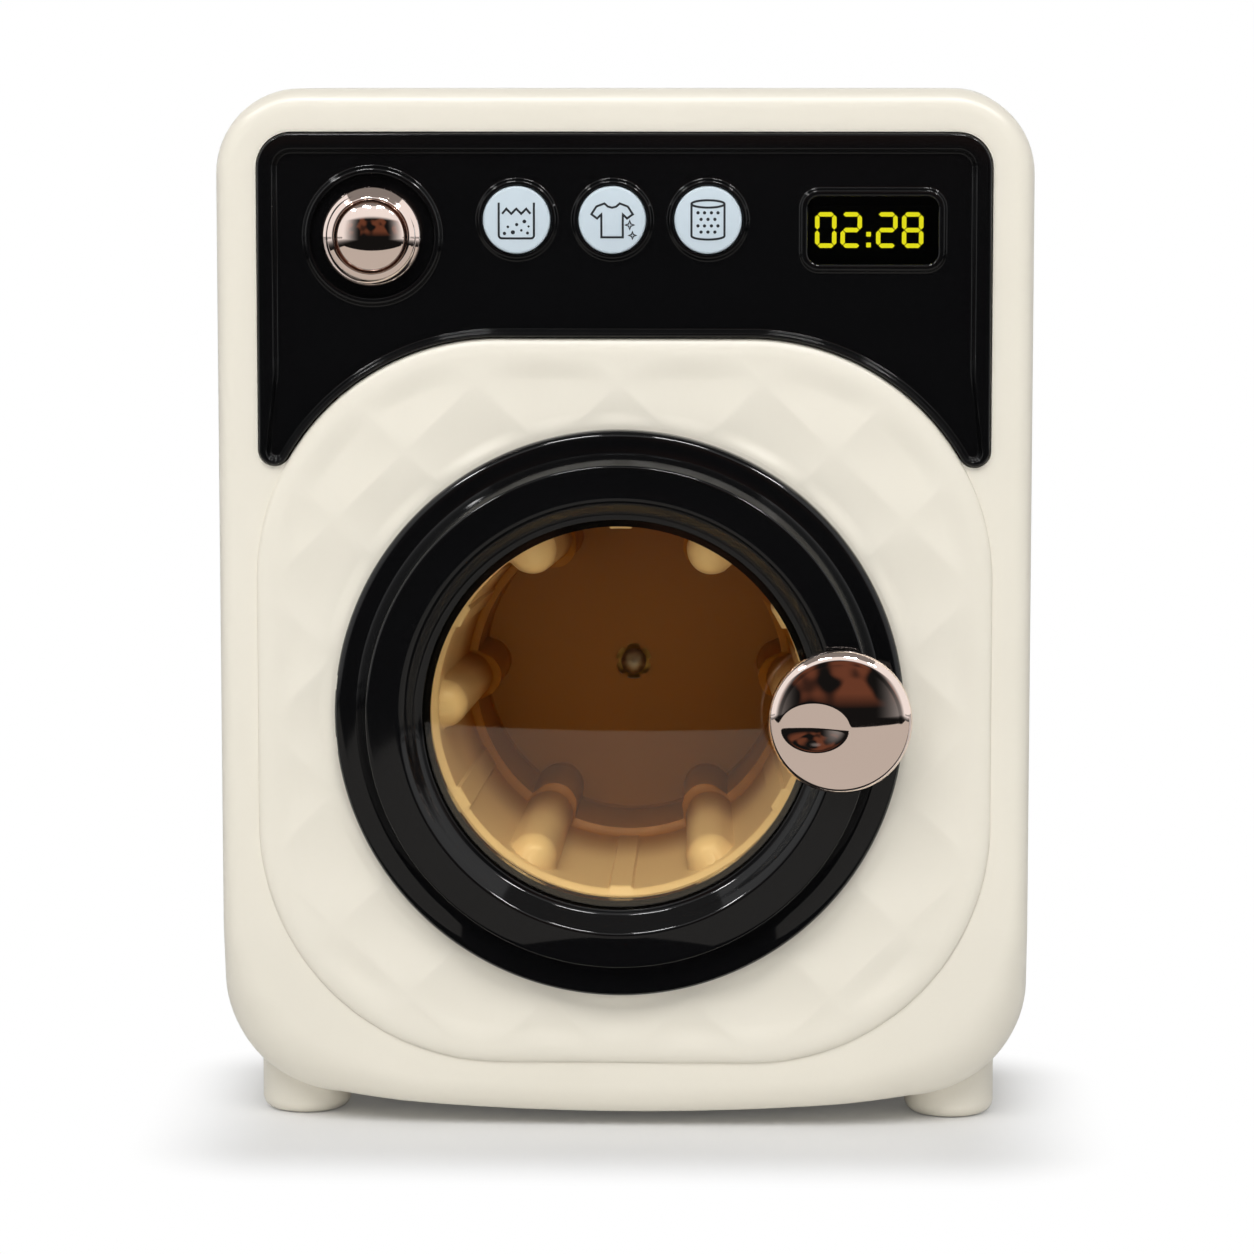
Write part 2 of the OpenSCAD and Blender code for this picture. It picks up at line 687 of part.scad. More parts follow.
module front_shell() {
    color(cream) stand() difference() {
        union() {
            difference() {
                union() {
                    body_end(0, 1);
                    slab(-split_d, -edge_r) body_outline(0);
                }
                slab(-split_d - 1, wall_p) body_outline(wall);
            }
            slab(wall_p, panel_p - panel_bevel) panel_outline(0);
            hull() {
                slab(panel_p - panel_bevel - 0.01, panel_p - panel_bevel) panel_outline(0);
                slab(panel_p - 0.01, panel_p) panel_outline(-panel_bevel);
            }
            slab(floor_back, wall_p) fascia_outline(-wall);
            for (at = case_screws) post(at, -split_d + well_reach, wall_p, screw_well_r - 1);
            for (at = board_posts) post(at, board_p, floor_back, boss_r);
            door_place() {
                for (a = tub_screw_angles)
                    post(tub_screw_off * [cos(a), sin(a)], wall_p - tub_boss, wall_p, boss_r + 0.4);
                for (z = [-1, 1])
                    post([latch_off + 7, z * 8], wall_p - 4, wall_p, boss_r);
            }
            for (x = foot_spots)
                intersection() {
                    translate([x, 0, -foot_inset]) rotate([-90, 0, 0])
                        cylinder(h = foot_seat_z + foot_boss, r = foot_boss_r);
                    slab(-split_d, wall_p) body_outline(0);
                }
        }
        slab(floor_p, panel_p) fascia_outline(-seat);
        for (x = button_xs) post([x, button_z], floor_back - 1, 0, button_r + run);
        post([knob_x, knob_z], floor_back - 1, 0, knob_shaft_r + 1.2);
        translate([display_x, display_z])
            slab(floor_back - 1, 0) square([window_w - 2.4, digit_h + 4], center = true);
        for (at = fascia_pegs) post(at, floor_back - 1, 0, boss_r - 0.3 + seat);
        for (at = board_posts) post(at, board_p - 1, floor_p - 1, pilot_r);
        for (at = case_screws)
            post(at, -split_d, -split_d + well_reach + case_screw_l, case_screw_r + fit);
        door_place() {
            post([0, 0], floor_back - 20, panel_p + 1, port_r);
            for (a = tub_screw_angles)
                post(tub_screw_off * [cos(a), sin(a)], wall_p - tub_boss - 1, 0, pilot_r);
            for (z = [-1, 1]) {
                post([latch_off + 7, z * 8], wall_p - 5, 0, pilot_r);
                post([-hinge_off + 9, z * 12], wall_p - 1, 0.6, pilot_r);
                translate([-hinge_off, z * (knuckle + 0.2 + ear_t / 2)])
                    slab(wall_p - 1, panel_p + 1) square([2 * ear_r + 1, ear_t + 1], center = true);
            }
            slab(-20, panel_p + 1) translate([latch_off + 0.5, 0])
                square([tongue_t + 3, tongue_w + 1], center = true);
            intersection() {
                translate([-hinge_off, 0, hinge_p]) rotate([90, 0, 0])
                    cylinder(h = groove_l, r = swing_r, center = true);
                post([0, 0], -10, panel_p + 1, ring_r + 0.2);
            }
        }
        for (x = foot_spots)
            translate([x, 0, -foot_inset]) rotate([-90, 0, 0])
                cylinder(h = foot_seat_z + 12, r = pass_r);
    }
}

module rear_shell() {
    color(cream) stand() difference() {
        union() {
            difference() {
                union() {
                    body_end(back_p, -1);
                    slab(back_p + edge_r, -split_d) body_outline(0);
                    slab(-split_d - lip_d, -split_d + lip_d) body_outline(wall + fit);
                }
                slab(back_wall_p, -split_d - lip_d - 1) body_outline(wall);
                slab(-split_d - lip_d - 2, -split_d + lip_d + 1) body_outline(wall + fit + lip_t);
            }
            intersection() {
                for (at = case_screws) post(at, back_wall_p, -split_d + well_reach, screw_well_r);
                union() {
                    slab(back_wall_p, -split_d) body_outline(wall / 2);
                    slab(-split_d - 1, -split_d + lip_d) body_outline(wall + fit);
                }
            }
            translate([0, plate_z])
                slab(back_wall_p, pad_p)
                    square([plate_w + 2 * wall, plate_h + 2 * wall], center = true);
            for (at = box_ears) post(at, back_wall_p, pad_p + 4, boss_r);
            post([0, cover_screw_z], pad_p, pad_p + 4, boss_r);
            for (z = [-1, 1]) post([switch_x, switch_z + z * 8], back_wall_p, back_wall_p + 3, boss_r);
            translate([0, speaker_z]) {
                difference() {
                    post([0, 0], back_wall_p, back_wall_p + speaker_rim, speaker_r + 2);
                    post([0, 0], back_wall_p, back_wall_p + speaker_rim + 1, speaker_r + seat);
                }
                for (at = speaker_clamps) post(at, back_wall_p, back_wall_p + speaker_rim, boss_r);
            }
            for (x = foot_spots)
                intersection() {
                    translate([x, 0, back_p + foot_inset]) rotate([-90, 0, 0])
                        cylinder(h = foot_seat_z + foot_boss, r = foot_boss_r);
                    slab(back_wall_p, -split_d) body_outline(0);
                }
        }
        for (at = case_screws) {
            post(at, back_p - 1, -split_d - 2, case_head_r + 0.4);
            post(at, back_p - 1, -split_d + lip_d, case_screw_r + run);
            post(at, -split_d + well_reach, -split_d + lip_d + 1, screw_well_r - 1 + run);
        }
        translate([0, plate_z])
            slab(back_p - 1, back_p + recess_d)
                square([plate_w + 2 * seat, plate_h + 2 * seat], center = true);
        translate([0, bay_z]) slab(back_p - 1, pad_p + 1) square([bay_w, bay_h], center = true);
        for (at = box_ears) post(at, back_wall_p + 0.5, pad_p + 5, pilot_r);
        post([0, cover_screw_z], back_p, pad_p + 3, pilot_r);
        translate([switch_x, switch_z]) {
            slab(back_p - 1, back_p + 1)
                square([slider_w + switch_travel + 7, slider_h + 6], center = true);
            slab(back_p - 1, back_wall_p + 1)
                square([slider_w + switch_travel + 2 * run, slider_h + 2 * run], center = true);
        }
        for (z = [-1, 1])
            post([switch_x, switch_z + z * 8], back_wall_p - 0.5, back_wall_p + 4, pilot_r);
        translate([0, speaker_z]) {
            for (ring = [0:3], i = [0:max(6 * ring - 1, 0)]) {
                a = ring == 0 ? 0 : i * 60 / ring;
                post(ring * grille_pitch * [cos(a), sin(a)], back_p - 1, back_wall_p + 1, grille_r);
            }
            for (at = speaker_clamps)
                post(at, back_wall_p - 1, back_wall_p + speaker_rim + 1, pilot_r);
        }
        for (x = foot_spots)
            translate([x, 0, back_p + foot_inset]) rotate([-90, 0, 0])
                cylinder(h = foot_seat_z + 12, r = pass_r);
    }
}

module shell_screws() {
    color(steel) stand() for (at = case_screws)
        screw(at, -split_d - 2, case_screw_l, case_screw_r, case_head_r, 2);
}

// Four round feet, cut to the curve of the casing's bottom corners
module feet() {
    color(cream) stand() for (x = foot_spots, p = [-foot_inset, back_p + foot_inset])
        difference() {
            translate([x, 0, p]) rotate([-90, 0, 0]) rotate_extrude() {
                translate([0, foot_edge]) square([foot_r, foot_seat_z + 8 - foot_edge]);
                square([foot_r - foot_edge, foot_edge]);
                intersection() {
                    translate([foot_r - foot_edge, foot_edge]) circle(foot_edge);
                    translate([foot_r - foot_edge, 0]) square(foot_edge);
                }
            }
            slab(back_p - 10, 10) body_outline(-0.02);
            translate([x, 3, p]) rotate([-90, 0, 0]) cylinder(h = foot_seat_z, r = pilot_r);
        }
}

module foot_screws() {
    color(steel) stand() for (x = foot_spots, p = [-foot_inset, back_p + foot_inset])
        translate([x, foot_seat_z + foot_boss, p]) rotate([-90, 0, 0]) {
            cylinder(h = head_h, r = head_r);
            translate([0, 0, -10]) cylinder(h = 10, r = screw_r);
        }
}

module control_fascia() {
    color(black) stand() difference() {
        union() {
            slab(floor_p, 0) fascia_outline(0);
            slab(0, bead_h) difference() {
                fascia_outline(0);
                field_outline();
            }
            slab(0, bead_h) {
                for (x = button_xs) translate([x, button_z]) circle(button_r + run + button_bead);
                translate([knob_x, knob_z]) circle(well_r + well_bead);
                translate([display_x, display_z])
                    pill(window_w + 2 * bezel, window_h + 2 * bezel, window_r + bezel);
            }
            for (at = fascia_pegs) post(at, floor_back, floor_p, boss_r - 0.3);
        }
        for (x = button_xs) post([x, button_z], floor_p - 1, bead_h + 1, button_r + run);
        post([knob_x, knob_z], -well_d, bead_h + 1, well_r);
        post([knob_x, knob_z], floor_p - 1, 0, knob_shaft_r + 1.2);
        translate([display_x, display_z]) {
            slab(floor_p - 1, bead_h + 1) pill(window_w, window_h, window_r);
            slab(floor_p - 1, floor_p + 1.2) pill(window_w + 2.4, window_h + 2.4, window_r + 1.2);
        }
        for (at = fascia_pegs) post(at, floor_back - 1, -0.8, pilot_r);
    }
}

module fascia_screws() {
    color(steel) stand() for (at = fascia_pegs) small_screw(at, floor_back, 4);
}

module display_lens() {
    color([0.2, 0.22, 0.24, 0.4]) stand() translate([display_x, display_z]) {
        slab(floor_p + 1, 0.2) pill(window_w - 2 * fit, window_h - 2 * fit, window_r - fit);
        slab(floor_p, floor_p + 1.1)
            pill(window_w + 2.4 - 2 * seat, window_h + 2.4 - 2 * seat, window_r + 1.2 - seat);
    }
}

module display_module() {
    color(black) stand() translate([display_x, display_z])
        slab(board_p, floor_p - 0.6) square([window_w - 3, digit_h + 3], center = true);
}

module display_digits() {
    color([0.9, 0.88, 0.2]) stand() translate([display_x - 1, display_z]) {
        slab(floor_p - 0.6, floor_p - 0.3) {
            translate([-11.3, 0]) digit([1, 1, 1, 1, 1, 1, 0]);
            translate([-4.6, 0]) digit([1, 1, 0, 1, 1, 0, 1]);
            translate([4.7, 0]) digit([1, 1, 0, 1, 1, 0, 1]);
            translate([11.5, 0]) digit([1, 1, 1, 1, 1, 1, 1]);
            for (z = [-0.12, -0.42]) translate([0, z * digit_h]) circle(segment / 2);
        }
    }
}

module main_board() {
    color([0.1, 0.4, 0.25]) stand() difference() {
        slab(board_back, board_p) translate([board_x, board_z])
            square([board_w, board_h], center = true);
        for (at = board_posts) post(at, board_back - 1, board_p + 1, pass_r);
    }
}

module board_screws() {
    color(steel) stand() for (at = board_posts) small_screw(at, board_back, 8);
}

module keypad() {
    color([0.75, 0.75, 0.73]) stand() {
        slab(board_p, board_p + keypad_t) translate([button_x, button_z])
            pill(2 * button_pitch + 20, 20, 4);
        for (x = button_xs) rotate_dome([x, button_z]);
    }
}

// Rubber dome under a button's stem
module rotate_dome(at) {
    translate([at[0], at[1], board_p + keypad_t]) rotate_extrude()
        polygon([[0, 0], [4.5, 0], [3.2, dome_h], [0, dome_h]]);
}

module button(x) {
    flange_p = floor_back - run;
    color(ice_blue) stand() translate([x, button_z, 0]) {
        intersection() {
            post([0, 0], flange_p - 1, button_proud, button_r);
            translate([0, 0, button_proud - 60]) sphere(60, $fn = 200);
        }
        post([0, 0], flange_p - 1.6, flange_p, button_r + 1.2);
        post([0, 0], board_p + keypad_t + dome_h + run + button_travel, flange_p - 1, stem_r);
    }
}

module button_wash() button(button_xs[0]);
module button_clothes() button(button_xs[1]);
module button_drum() button(button_xs[2]);

module knob() {
    back = -well_d + 0.6;
    color(rose_gold) stand() translate([knob_x, knob_z, 0]) difference() {
        rotate_extrude() difference() {
            union() {
                polygon([[0, back], [knob_r - 0.6, back], [knob_r, back + 0.6], [knob_r, 3.6],
                    [knob_r - 1.4, 5], [knob_dome_r + 1.4, 4.6], [knob_dome_r, 3.6],
                    [knob_dome_r - 0.2, 5], [0, 5]]);
                intersection() {
                    translate([0, knob_proud - 16]) circle(16, $fn = 128);
                    square([knob_dome_r - 0.2, knob_proud]);
                }
            }
            translate([-knob_r, -20]) square([knob_r, 60]);
        }
        post([0, 0], back - 1, 3.5, knob_shaft_r + fit);
    }
}

module knob_shaft() {
    color(steel) stand() post([knob_x, knob_z], board_p + 2, 3.4, knob_shaft_r);
}

// Rotary switch on the board that the knob's shaft turns in
module knob_switch() {
    color([0.2, 0.2, 0.22]) stand() difference() {
        union() {
            slab(board_p, board_p + 6) translate([knob_x, knob_z]) square(dial_w, center = true);
            post([knob_x, knob_z], board_p, floor_back - 0.4, knob_shaft_r + 1);
        }
        post([knob_x, knob_z], board_p + 1.9, 0, knob_shaft_r + fit);
    }
}

module door_ring() {
    color(black) stand() door_place() {
        difference() {
            union() {
                rotate_extrude($fn = 128) ring_section();
                for (a = door_screw_angles)
                    post(door_screw_off * [cos(a), sin(a)], door_back_p + back_t, face_p - skin + 0.2,
                        boss_r);
                post([handle_off, 0], face_p - 5, face_p - skin + 0.2, handle_boss_r);
                // knuckle round the hinge pin, and the web that joins it to the ring
                translate([-hinge_off, 0, hinge_p]) rotate([90, 0, 0])
                    cylinder(h = 2 * knuckle, r = ear_r, center = true);
                translate([-hinge_off + 3.2, 0, (hinge_p + flange_p) / 2])
                    cube([6.4, 2 * knuckle, flange_p - hinge_p - 0.4], center = true);
            }
            for (a = door_screw_angles)
                post(door_screw_off * [cos(a), sin(a)], door_back_p, face_p - 3, pilot_r);
            post([handle_off, 0], face_p - 6, face_p + 1, pass_r);
            translate([-hinge_off, 0, hinge_p]) rotate([90, 0, 0])
                cylinder(h = 2 * knuckle + 1, r = pin_r + fit, center = true);
            // notches that let the ears pass as the door swings
            for (z = [-1, 1]) translate([-ring_r, z * (knuckle + 0.2 + ear_t / 2), 0])
                slab(0, flange_p - skin)
                    square([2 * (ring_r - hinge_off), ear_t + 2 * run], center = true);
        }
    }
}

// Flat ring that holds the window in the door from behind
module door_back() {
    inner_gap = ring_r - skin - 0.4 - edge_cut - seat;
    color(black) stand() door_place() difference() {
        union() {
            post([0, 0], door_back_p, door_back_p + back_t, inner_gap);
            post([0, 0], door_back_p, lip_p - skin - window_t, back_bore_r + 2.4);
        }
        post([0, 0], door_back_p - 1, lip_p, back_bore_r);
        for (a = door_screw_angles)
            post(door_screw_off * [cos(a), sin(a)], door_back_p - 1, lip_p, pass_r);
        for (a = door_screw_angles)
            post(door_screw_off * [cos(a), sin(a)], door_back_p - 1, door_back_p + 0.6, head_r + 0.2);
        post([handle_off, 0], door_back_p - 1, lip_p, head_r + 1.4);
        slab(door_back_p - 1, lip_p) translate([latch_off, 0])
            square([tongue_t + 2 * seat, tongue_w + 2 * seat], center = true);
        // room for the hinge at the left
        translate([-hinge_off - 3, 0, door_back_p])
            cube([16, 2 * (knuckle + ear_t) + 8, 20], center = true);
    }
}

module door_window() {
    edge = back_bore_r + 2.4;
    dome_out = (pow(bore_r - 0.6, 2) + pow(window_dome, 2)) / (2 * window_dome);
    base = lip_p - skin;
    color([0.8, 0.9, 0.95, 0.35]) stand() door_place() difference() {
        union() {
            post([0, 0], base - window_t, base, bore_r + skin);
            intersection() {
                post([0, 0], base - window_t, base + window_dome + 1, bore_r - 0.2);
                translate([0, 0, base + window_dome - dome_out]) sphere(dome_out, $fn = 200);
            }
        }
        intersection() {
            post([0, 0], base - window_t - 1, base + window_dome, edge - 2.4);
            translate([0, 0, base + window_dome - dome_out - window_t]) sphere(dome_out, $fn = 200);
        }
    }
}

module door_screws() {
    color(steel) stand() door_place() for (a = door_screw_angles)
        screw(door_screw_off * [cos(a), sin(a)], door_back_p + 0.6, 6, screw_r, head_r, 0.6);
}

module door_handle() {
    color(rose_gold) stand() door_place() translate([handle_off, 0, 0]) difference() {
        union() {
            rotate_extrude() {
                intersection() {
                    translate([0, handle_front - 60]) circle(60, $fn = 360);
                    translate([0, handle_back]) square([handle_r - 2.6, handle_rim]);
                }
                translate([handle_r - 2.6, handle_back + 2.6]) circle(2.6);
                translate([0, handle_back]) square([handle_r - 2.6, 4.4]);
            }
            post([0, 0], face_p, handle_back + 0.5, handle_foot_r);
        }
        translate([-6.3, 0, handle_front + dimple_r - dimple_d]) sphere(dimple_r, $fn = 96);
        post([0, 0], face_p - 1, handle_back + 2.5, pilot_r);
    }
}

module handle_screw() {
    color(steel) stand() door_place()
        screw([handle_off, 0], face_p - 5, 9.5, screw_r, head_r + 0.6, head_h);
}

// Tongue on the door's back that the latch holds
module latch_tongue() {
    color([0.8, 0.8, 0.78]) stand() door_place() translate([latch_off, 0, 0]) {
        slab(-tongue_d, face_p - skin) square([tongue_t, tongue_w], center = true);
        slab(-tongue_d + 1, -tongue_d + 3) translate([0.3, 0])
            square([tongue_t + 0.6, tongue_w], center = true);
        slab(door_back_p + back_t, door_back_p + back_t + 1.2)
            square([tongue_t + 2, tongue_w + 5], center = true);
    }
}

// Sprung clip behind the front wall, with one jaw each side of the tongue
module latch_catch() {
    base = wall_p - 4;
    color([0.8, 0.8, 0.78]) stand() door_place() difference() {
        union() {
            slab(base - 1.6, base) translate([latch_off + 4.5, 0]) square([14, 23], center = true);
            for (s = [-1, 1])
                slab(-tongue_d - 4, base) translate([latch_off + 0.5 + s * (tongue_t / 2 + 1.8), 0])
                    square([1, tongue_w], center = true);
            slab(-tongue_d - 4, -tongue_d - 3) translate([latch_off + 0.5, 0])
                square([tongue_t + 3.6, tongue_w], center = true);
        }
        slab(base - 3, base + 1) translate([latch_off + 0.5, 0])
            square([tongue_t + 2.6, tongue_w + 1], center = true);
        for (z = [-1, 1]) post([latch_off + 7, z * 8], base - 3, base + 1, pass_r);
    }
}

module latch_screws() {
    color(steel) stand() door_place() for (z = [-1, 1])
        screw([latch_off + 7, z * 8], wall_p - 5.6, 5, screw_r, head_r, head_h);
}

// Bracket behind the front wall, with two ears that reach through it to the hinge pin
module hinge_bracket() {
    color(steel) stand() door_place() difference() {
        union() {
            slab(wall_p - 2, wall_p) translate([-hinge_off + 3.5, 0])
                square([bracket_w, bracket_h], center = true);
            for (z = [-1, 1]) translate([-hinge_off, z * (knuckle + 0.2 + ear_t / 2), 0]) {
                slab(wall_p - 1, hinge_p) square([2 * ear_r, ear_t], center = true);
                translate([0, 0, hinge_p]) rotate([90, 0, 0])
                    cylinder(h = ear_t, r = ear_r, center = true);
            }
        }
        translate([-hinge_off, 0, hinge_p]) rotate([90, 0, 0])
            cylinder(h = 60, r = pin_r + fit, center = true);
        for (z = [-1, 1]) post([-hinge_off + 9, z * 12], wall_p - 3, 0, pass_r);
    }
}

module hinge_screws() {
    color(steel) stand() door_place() for (z = [-1, 1])
        screw([-hinge_off + 9, z * 12], wall_p - 2, 4.8, screw_r, head_r, head_h);
}

module hinge_pin() {
    color(steel) stand() door_place() translate([-hinge_off, 0, hinge_p]) rotate([90, 0, 0])
        cylinder(h = 2 * (knuckle + ear_t) + 0.4, r = pin_r, center = true);
}

// Outline of the drum: radius against depth behind the frame
module drum_section() {
    lip = 1.5;
    polygon([[drum_in_r + 0.2, -drum_front - lip], [drum_r - lip, -drum_front - lip],
        [drum_in_r + drum_t, -drum_front - 5], [drum_mid_r + drum_t, -ledge_d - drum_t],
        [drum_end_r + drum_t, -ledge_d - drum_t], [drum_end_r + drum_t - 0.8, -drum_back - drum_t],
        [6, -drum_back - drum_t], [6, -hub_back], [shaft_r + fit, -hub_back],
        [shaft_r + fit, -drum_back - 0.4], [screw_r, -drum_back - 0.4], [screw_r, -drum_back],
        [drum_end_r - 0.8, -drum_back], [drum_end_r, -ledge_d], [drum_mid_r, -ledge_d],
        [drum_in_r, -drum_front - 4]]);
    translate([drum_r - lip, -drum_front - lip]) circle(lip);
}

module drum() {
    color(cream) stand() door_place() {
        rotate_extrude($fn = 128) drum_section();
        intersection() {
            for (i = [0:lifters - 1]) {
                a = i * 360 / lifters;
                at = (drum_mid_r + 0.6) * [cos(a), sin(a)];
                post(at, -ledge_d - 0.5, -lifter_front - lifter_r, lifter_r);
                translate([at[0], at[1], -lifter_front - lifter_r]) sphere(lifter_r);
            }
            rotate_extrude($fn = 128) polygon([[0, -ledge_d - 0.5], [drum_mid_r + 0.4, -ledge_d - 0.5],
                [drum_in_r + 0.4, -drum_front - 4], [0, -drum_front - 4]]);
        }
    }
}

module drum_screw() {
    color(steel) stand() door_place() {
        intersection() {
            post([0, 0], -drum_back, -drum_back + 2.4, cap_r);
            translate([0, 0, -drum_back + 2.4 - 6]) sphere(6);
        }
        post([0, 0], -drum_back - 8, -drum_back, screw_r);
    }
}

module drum_shaft() {
    color(steel) stand() door_place() difference() {
        post([0, 0], -case_floor - 1, -drum_back - 0.6, shaft_r);
        post([0, 0], -drum_back - 9, -drum_back, pilot_r);
    }
}

// Bearing bush pressed into the tub's back wall
module drum_bush() {
    color([0.75, 0.6, 0.35]) stand() door_place() difference() {
        post([0, 0], -tub_end, -tub_back, 5.5);
        post([0, 0], -tub_end - 1, -tub_back + 1, shaft_r + fit);
    }
}

module tub() {
    color([0.82, 0.82, 0.8]) stand() door_place() difference() {
        union() {
            post([0, 0], -tub_end, wall_p, tub_r + tub_t);
            for (a = tub_screw_angles) {
                post(tub_screw_off * [cos(a), sin(a)], tub_ear_p, wall_p - tub_boss, boss_r + 1);
                rotate(a) slab(tub_ear_p, wall_p - tub_boss)
                    translate([tub_r - 1, -tub_web / 2]) square([tub_screw_off - tub_r - 1, tub_web]);
            }
        }
        post([0, 0], -tub_back, 1, tub_r);
        post([0, 0], -tub_end - 1, -tub_back + 1, 5.5);
        for (a = tub_screw_angles)
            post(tub_screw_off * [cos(a), sin(a)], wall_p - tub_boss - 4, wall_p, pass_r);
        for (x = [-1, 1], z = [-1, 1])
            post(gear_screw * [x, z], -tub_end - 1, -tub_back + 1, pilot_r);
    }
}

module tub_screws() {
    color(steel) stand() door_place() for (a = tub_screw_angles)
        small_screw(tub_screw_off * [cos(a), sin(a)], tub_ear_p, 7);
}

// Outline of the gearbox, about the middle of its case
module case_outline(inset) translate([case_shift, 0])
    pill(case_w - 2 * inset, case_h - 2 * inset, 6 - inset);

module gearbox_cover() {
    color([0.3, 0.3, 0.32]) stand() door_place() difference() {
        slab(-tub_end - cover_t, -tub_end) case_outline(0);
        post([0, 0], -tub_end - cover_t - 1, -tub_end + 1, shaft_r + 0.5);
        for (x = [-1, 1], z = [-1, 1])
            post(gear_screw * [x, z], -tub_end - cover_t - 1, -tub_end + 1, pass_r);
        translate(idler_at - [door_x, door_z])
            post([0, 0], -tub_end - cover_t - 1, -tub_end - 1, idler_pin_r);
    }
}

module gearbox_case() {
    motor_place = motor_at - [door_x, door_z];
    color([0.3, 0.3, 0.32]) stand() door_place() difference() {
        union() {
            difference() {
                slab(-case_end, -tub_end - cover_t) case_outline(0);
                slab(-case_floor, -tub_end - cover_t + 1) case_outline(case_wall);
            }
            for (x = [-1, 1], z = [-1, 1])
                post(gear_screw * [x, z], -case_floor, -tub_end - cover_t, boss_r);
            post([0, 0], -case_end, -case_end + case_wall + 0.8, shaft_r + 2.5);
            for (s = [-1, 1])
                post(motor_place + [0, s * (motor_h / 2 + 4)], -motor_end, -case_end, boss_r);
        }
        post([0, 0], -case_floor - 1.6, 0, shaft_r + fit);
        for (x = [-1, 1], z = [-1, 1])
            post(gear_screw * [x, z], -case_end - 1, 0, pass_r);
        translate(idler_at - [door_x, door_z]) post([0, 0], -case_floor - 1, 0, idler_pin_r);
        post(motor_place, -case_end - 1, 0, 3.2);
        for (s = [-1, 1])
            post(motor_place + [0, s * (motor_h / 2 + 4)], -motor_end - 1, -motor_end + 7, pilot_r);
    }
}

module gearbox_screws() {
    color(steel) stand() door_place() for (x = [-1, 1], z = [-1, 1])
        small_screw(gear_screw * [x, z], -case_end, case_end - tub_back - 0.2);
}

module drum_gear() {
    color([0.9, 0.9, 0.88]) stand() door_place() difference() {
        slab(-gear_front - drum_gear_t, -gear_front) gear_outline(drum_teeth, drum_module, idler_angle);
        post([0, 0], -gear_front - drum_gear_t - 1, 0, shaft_r + fit);
    }
}

module idler_gear() {
    color([0.9, 0.9, 0.88]) stand() translate(idler_at) difference() {
        union() {
            slab(-small_end, -gear_front) gear_outline(small_teeth, drum_module, small_turn);
            slab(-big_end, -small_end) gear_outline(big_teeth, motor_module, motor_angle);
        }
        post([0, 0], -big_end - 1, 0, idler_pin_r + fit);
    }
}

module idler_pin() {
    color(steel) stand() translate(idler_at)
        post([0, 0], -case_floor - 1, -tub_end - 1, idler_pin_r);
}

module motor_pinion() {
    color([0.75, 0.6, 0.35]) stand() translate(motor_at) difference() {
        slab(-big_end - 0.5, -small_end) gear_outline(pinion_teeth, motor_module, pinion_turn);
        post([0, 0], -big_end - 1, 0, motor_shaft_r + fit);
    }
}

module motor_shaft() {
    color(steel) stand() post(motor_at, -motor_end + 2, -small_end, motor_shaft_r);
}

module motor() {
    color(steel) stand() translate(motor_at) difference() {
        union() {
            slab(-motor_end, -case_end) intersection() {
                circle(motor_w / 2);
                square([motor_w, motor_h], center = true);
            }
            post([0, 0], -case_end, -case_end + 1.5, 3);
        }
        post([0, 0], -motor_end + 1.5, 0, motor_shaft_r + fit);
    }
}

module motor_retainer() {
    color(steel) stand() translate(motor_at) difference() {
        slab(-retainer_end, -motor_end) pill(9, motor_h + 15, 3);
        for (s = [-1, 1])
            post([0, s * (motor_h / 2 + 4)], -retainer_end - 1, 0, pass_r);
    }
}

module motor_screws() {
    color(steel) stand() translate(motor_at) for (s = [-1, 1])
        small_screw([0, s * (motor_h / 2 + 4)], -retainer_end, 7);
}

// Loudspeaker: rim, basket and magnet in one turned outline
module speaker() {
    color([0.25, 0.25, 0.27]) stand() translate([0, speaker_z, back_wall_p]) rotate_extrude()
        polygon([[0, 2], [speaker_r - 4, 0], [speaker_r, 0], [speaker_r, speaker_rim],
            [speaker_r - 3, speaker_rim], [13, speaker_d - 6], [13, speaker_d], [0, speaker_d]]);
}

module speaker_screws() {
    color(steel) stand() translate([0, speaker_z]) for (at = speaker_clamps)
        screw(at, back_wall_p + speaker_rim, 2.4, screw_r, 5, 1, -1);
}

module battery_box() {
    color(black) stand() translate([0, bay_z]) difference() {
        union() {
            slab(pad_p, pad_p + bay_deep + box_wall)
                square([bay_w + 2 * box_wall, bay_h + 2 * box_wall], center = true);
            for (at = box_ears) translate([0, -bay_z])
                slab(pad_p + 4, pad_p + 5.5) translate([at[0] * 0.97, at[1]])
                    square([2 * boss_r + 3, 2 * boss_r + 1], center = true);
        }
        slab(pad_p - 1, pad_p + bay_deep) square([bay_w, bay_h], center = true);
        for (at = box_ears) translate([0, -bay_z]) post(at, pad_p, pad_p + 7, pass_r);
    }
}

module battery_box_screws() {
    color(steel) stand() for (at = box_ears) small_screw(at, pad_p + 5.5, 6, -1);
}

module battery_cells() {
    color([0.25, 0.5, 0.35]) stand() for (row = [-1:1])
        translate([0, bay_z + row * cell_pitch, pad_p + bay_deep - cell_r - 0.1]) {
            flip = row == 0 ? -1 : 1;
            rotate([0, 90, 0]) cylinder(h = cell_l - 1, r = cell_r, center = true);
            translate([flip * cell_l / 2 - flip * 0.5, 0, 0]) rotate([0, 90, 0])
                cylinder(h = 1, r = 2.7, center = true);
        }
}

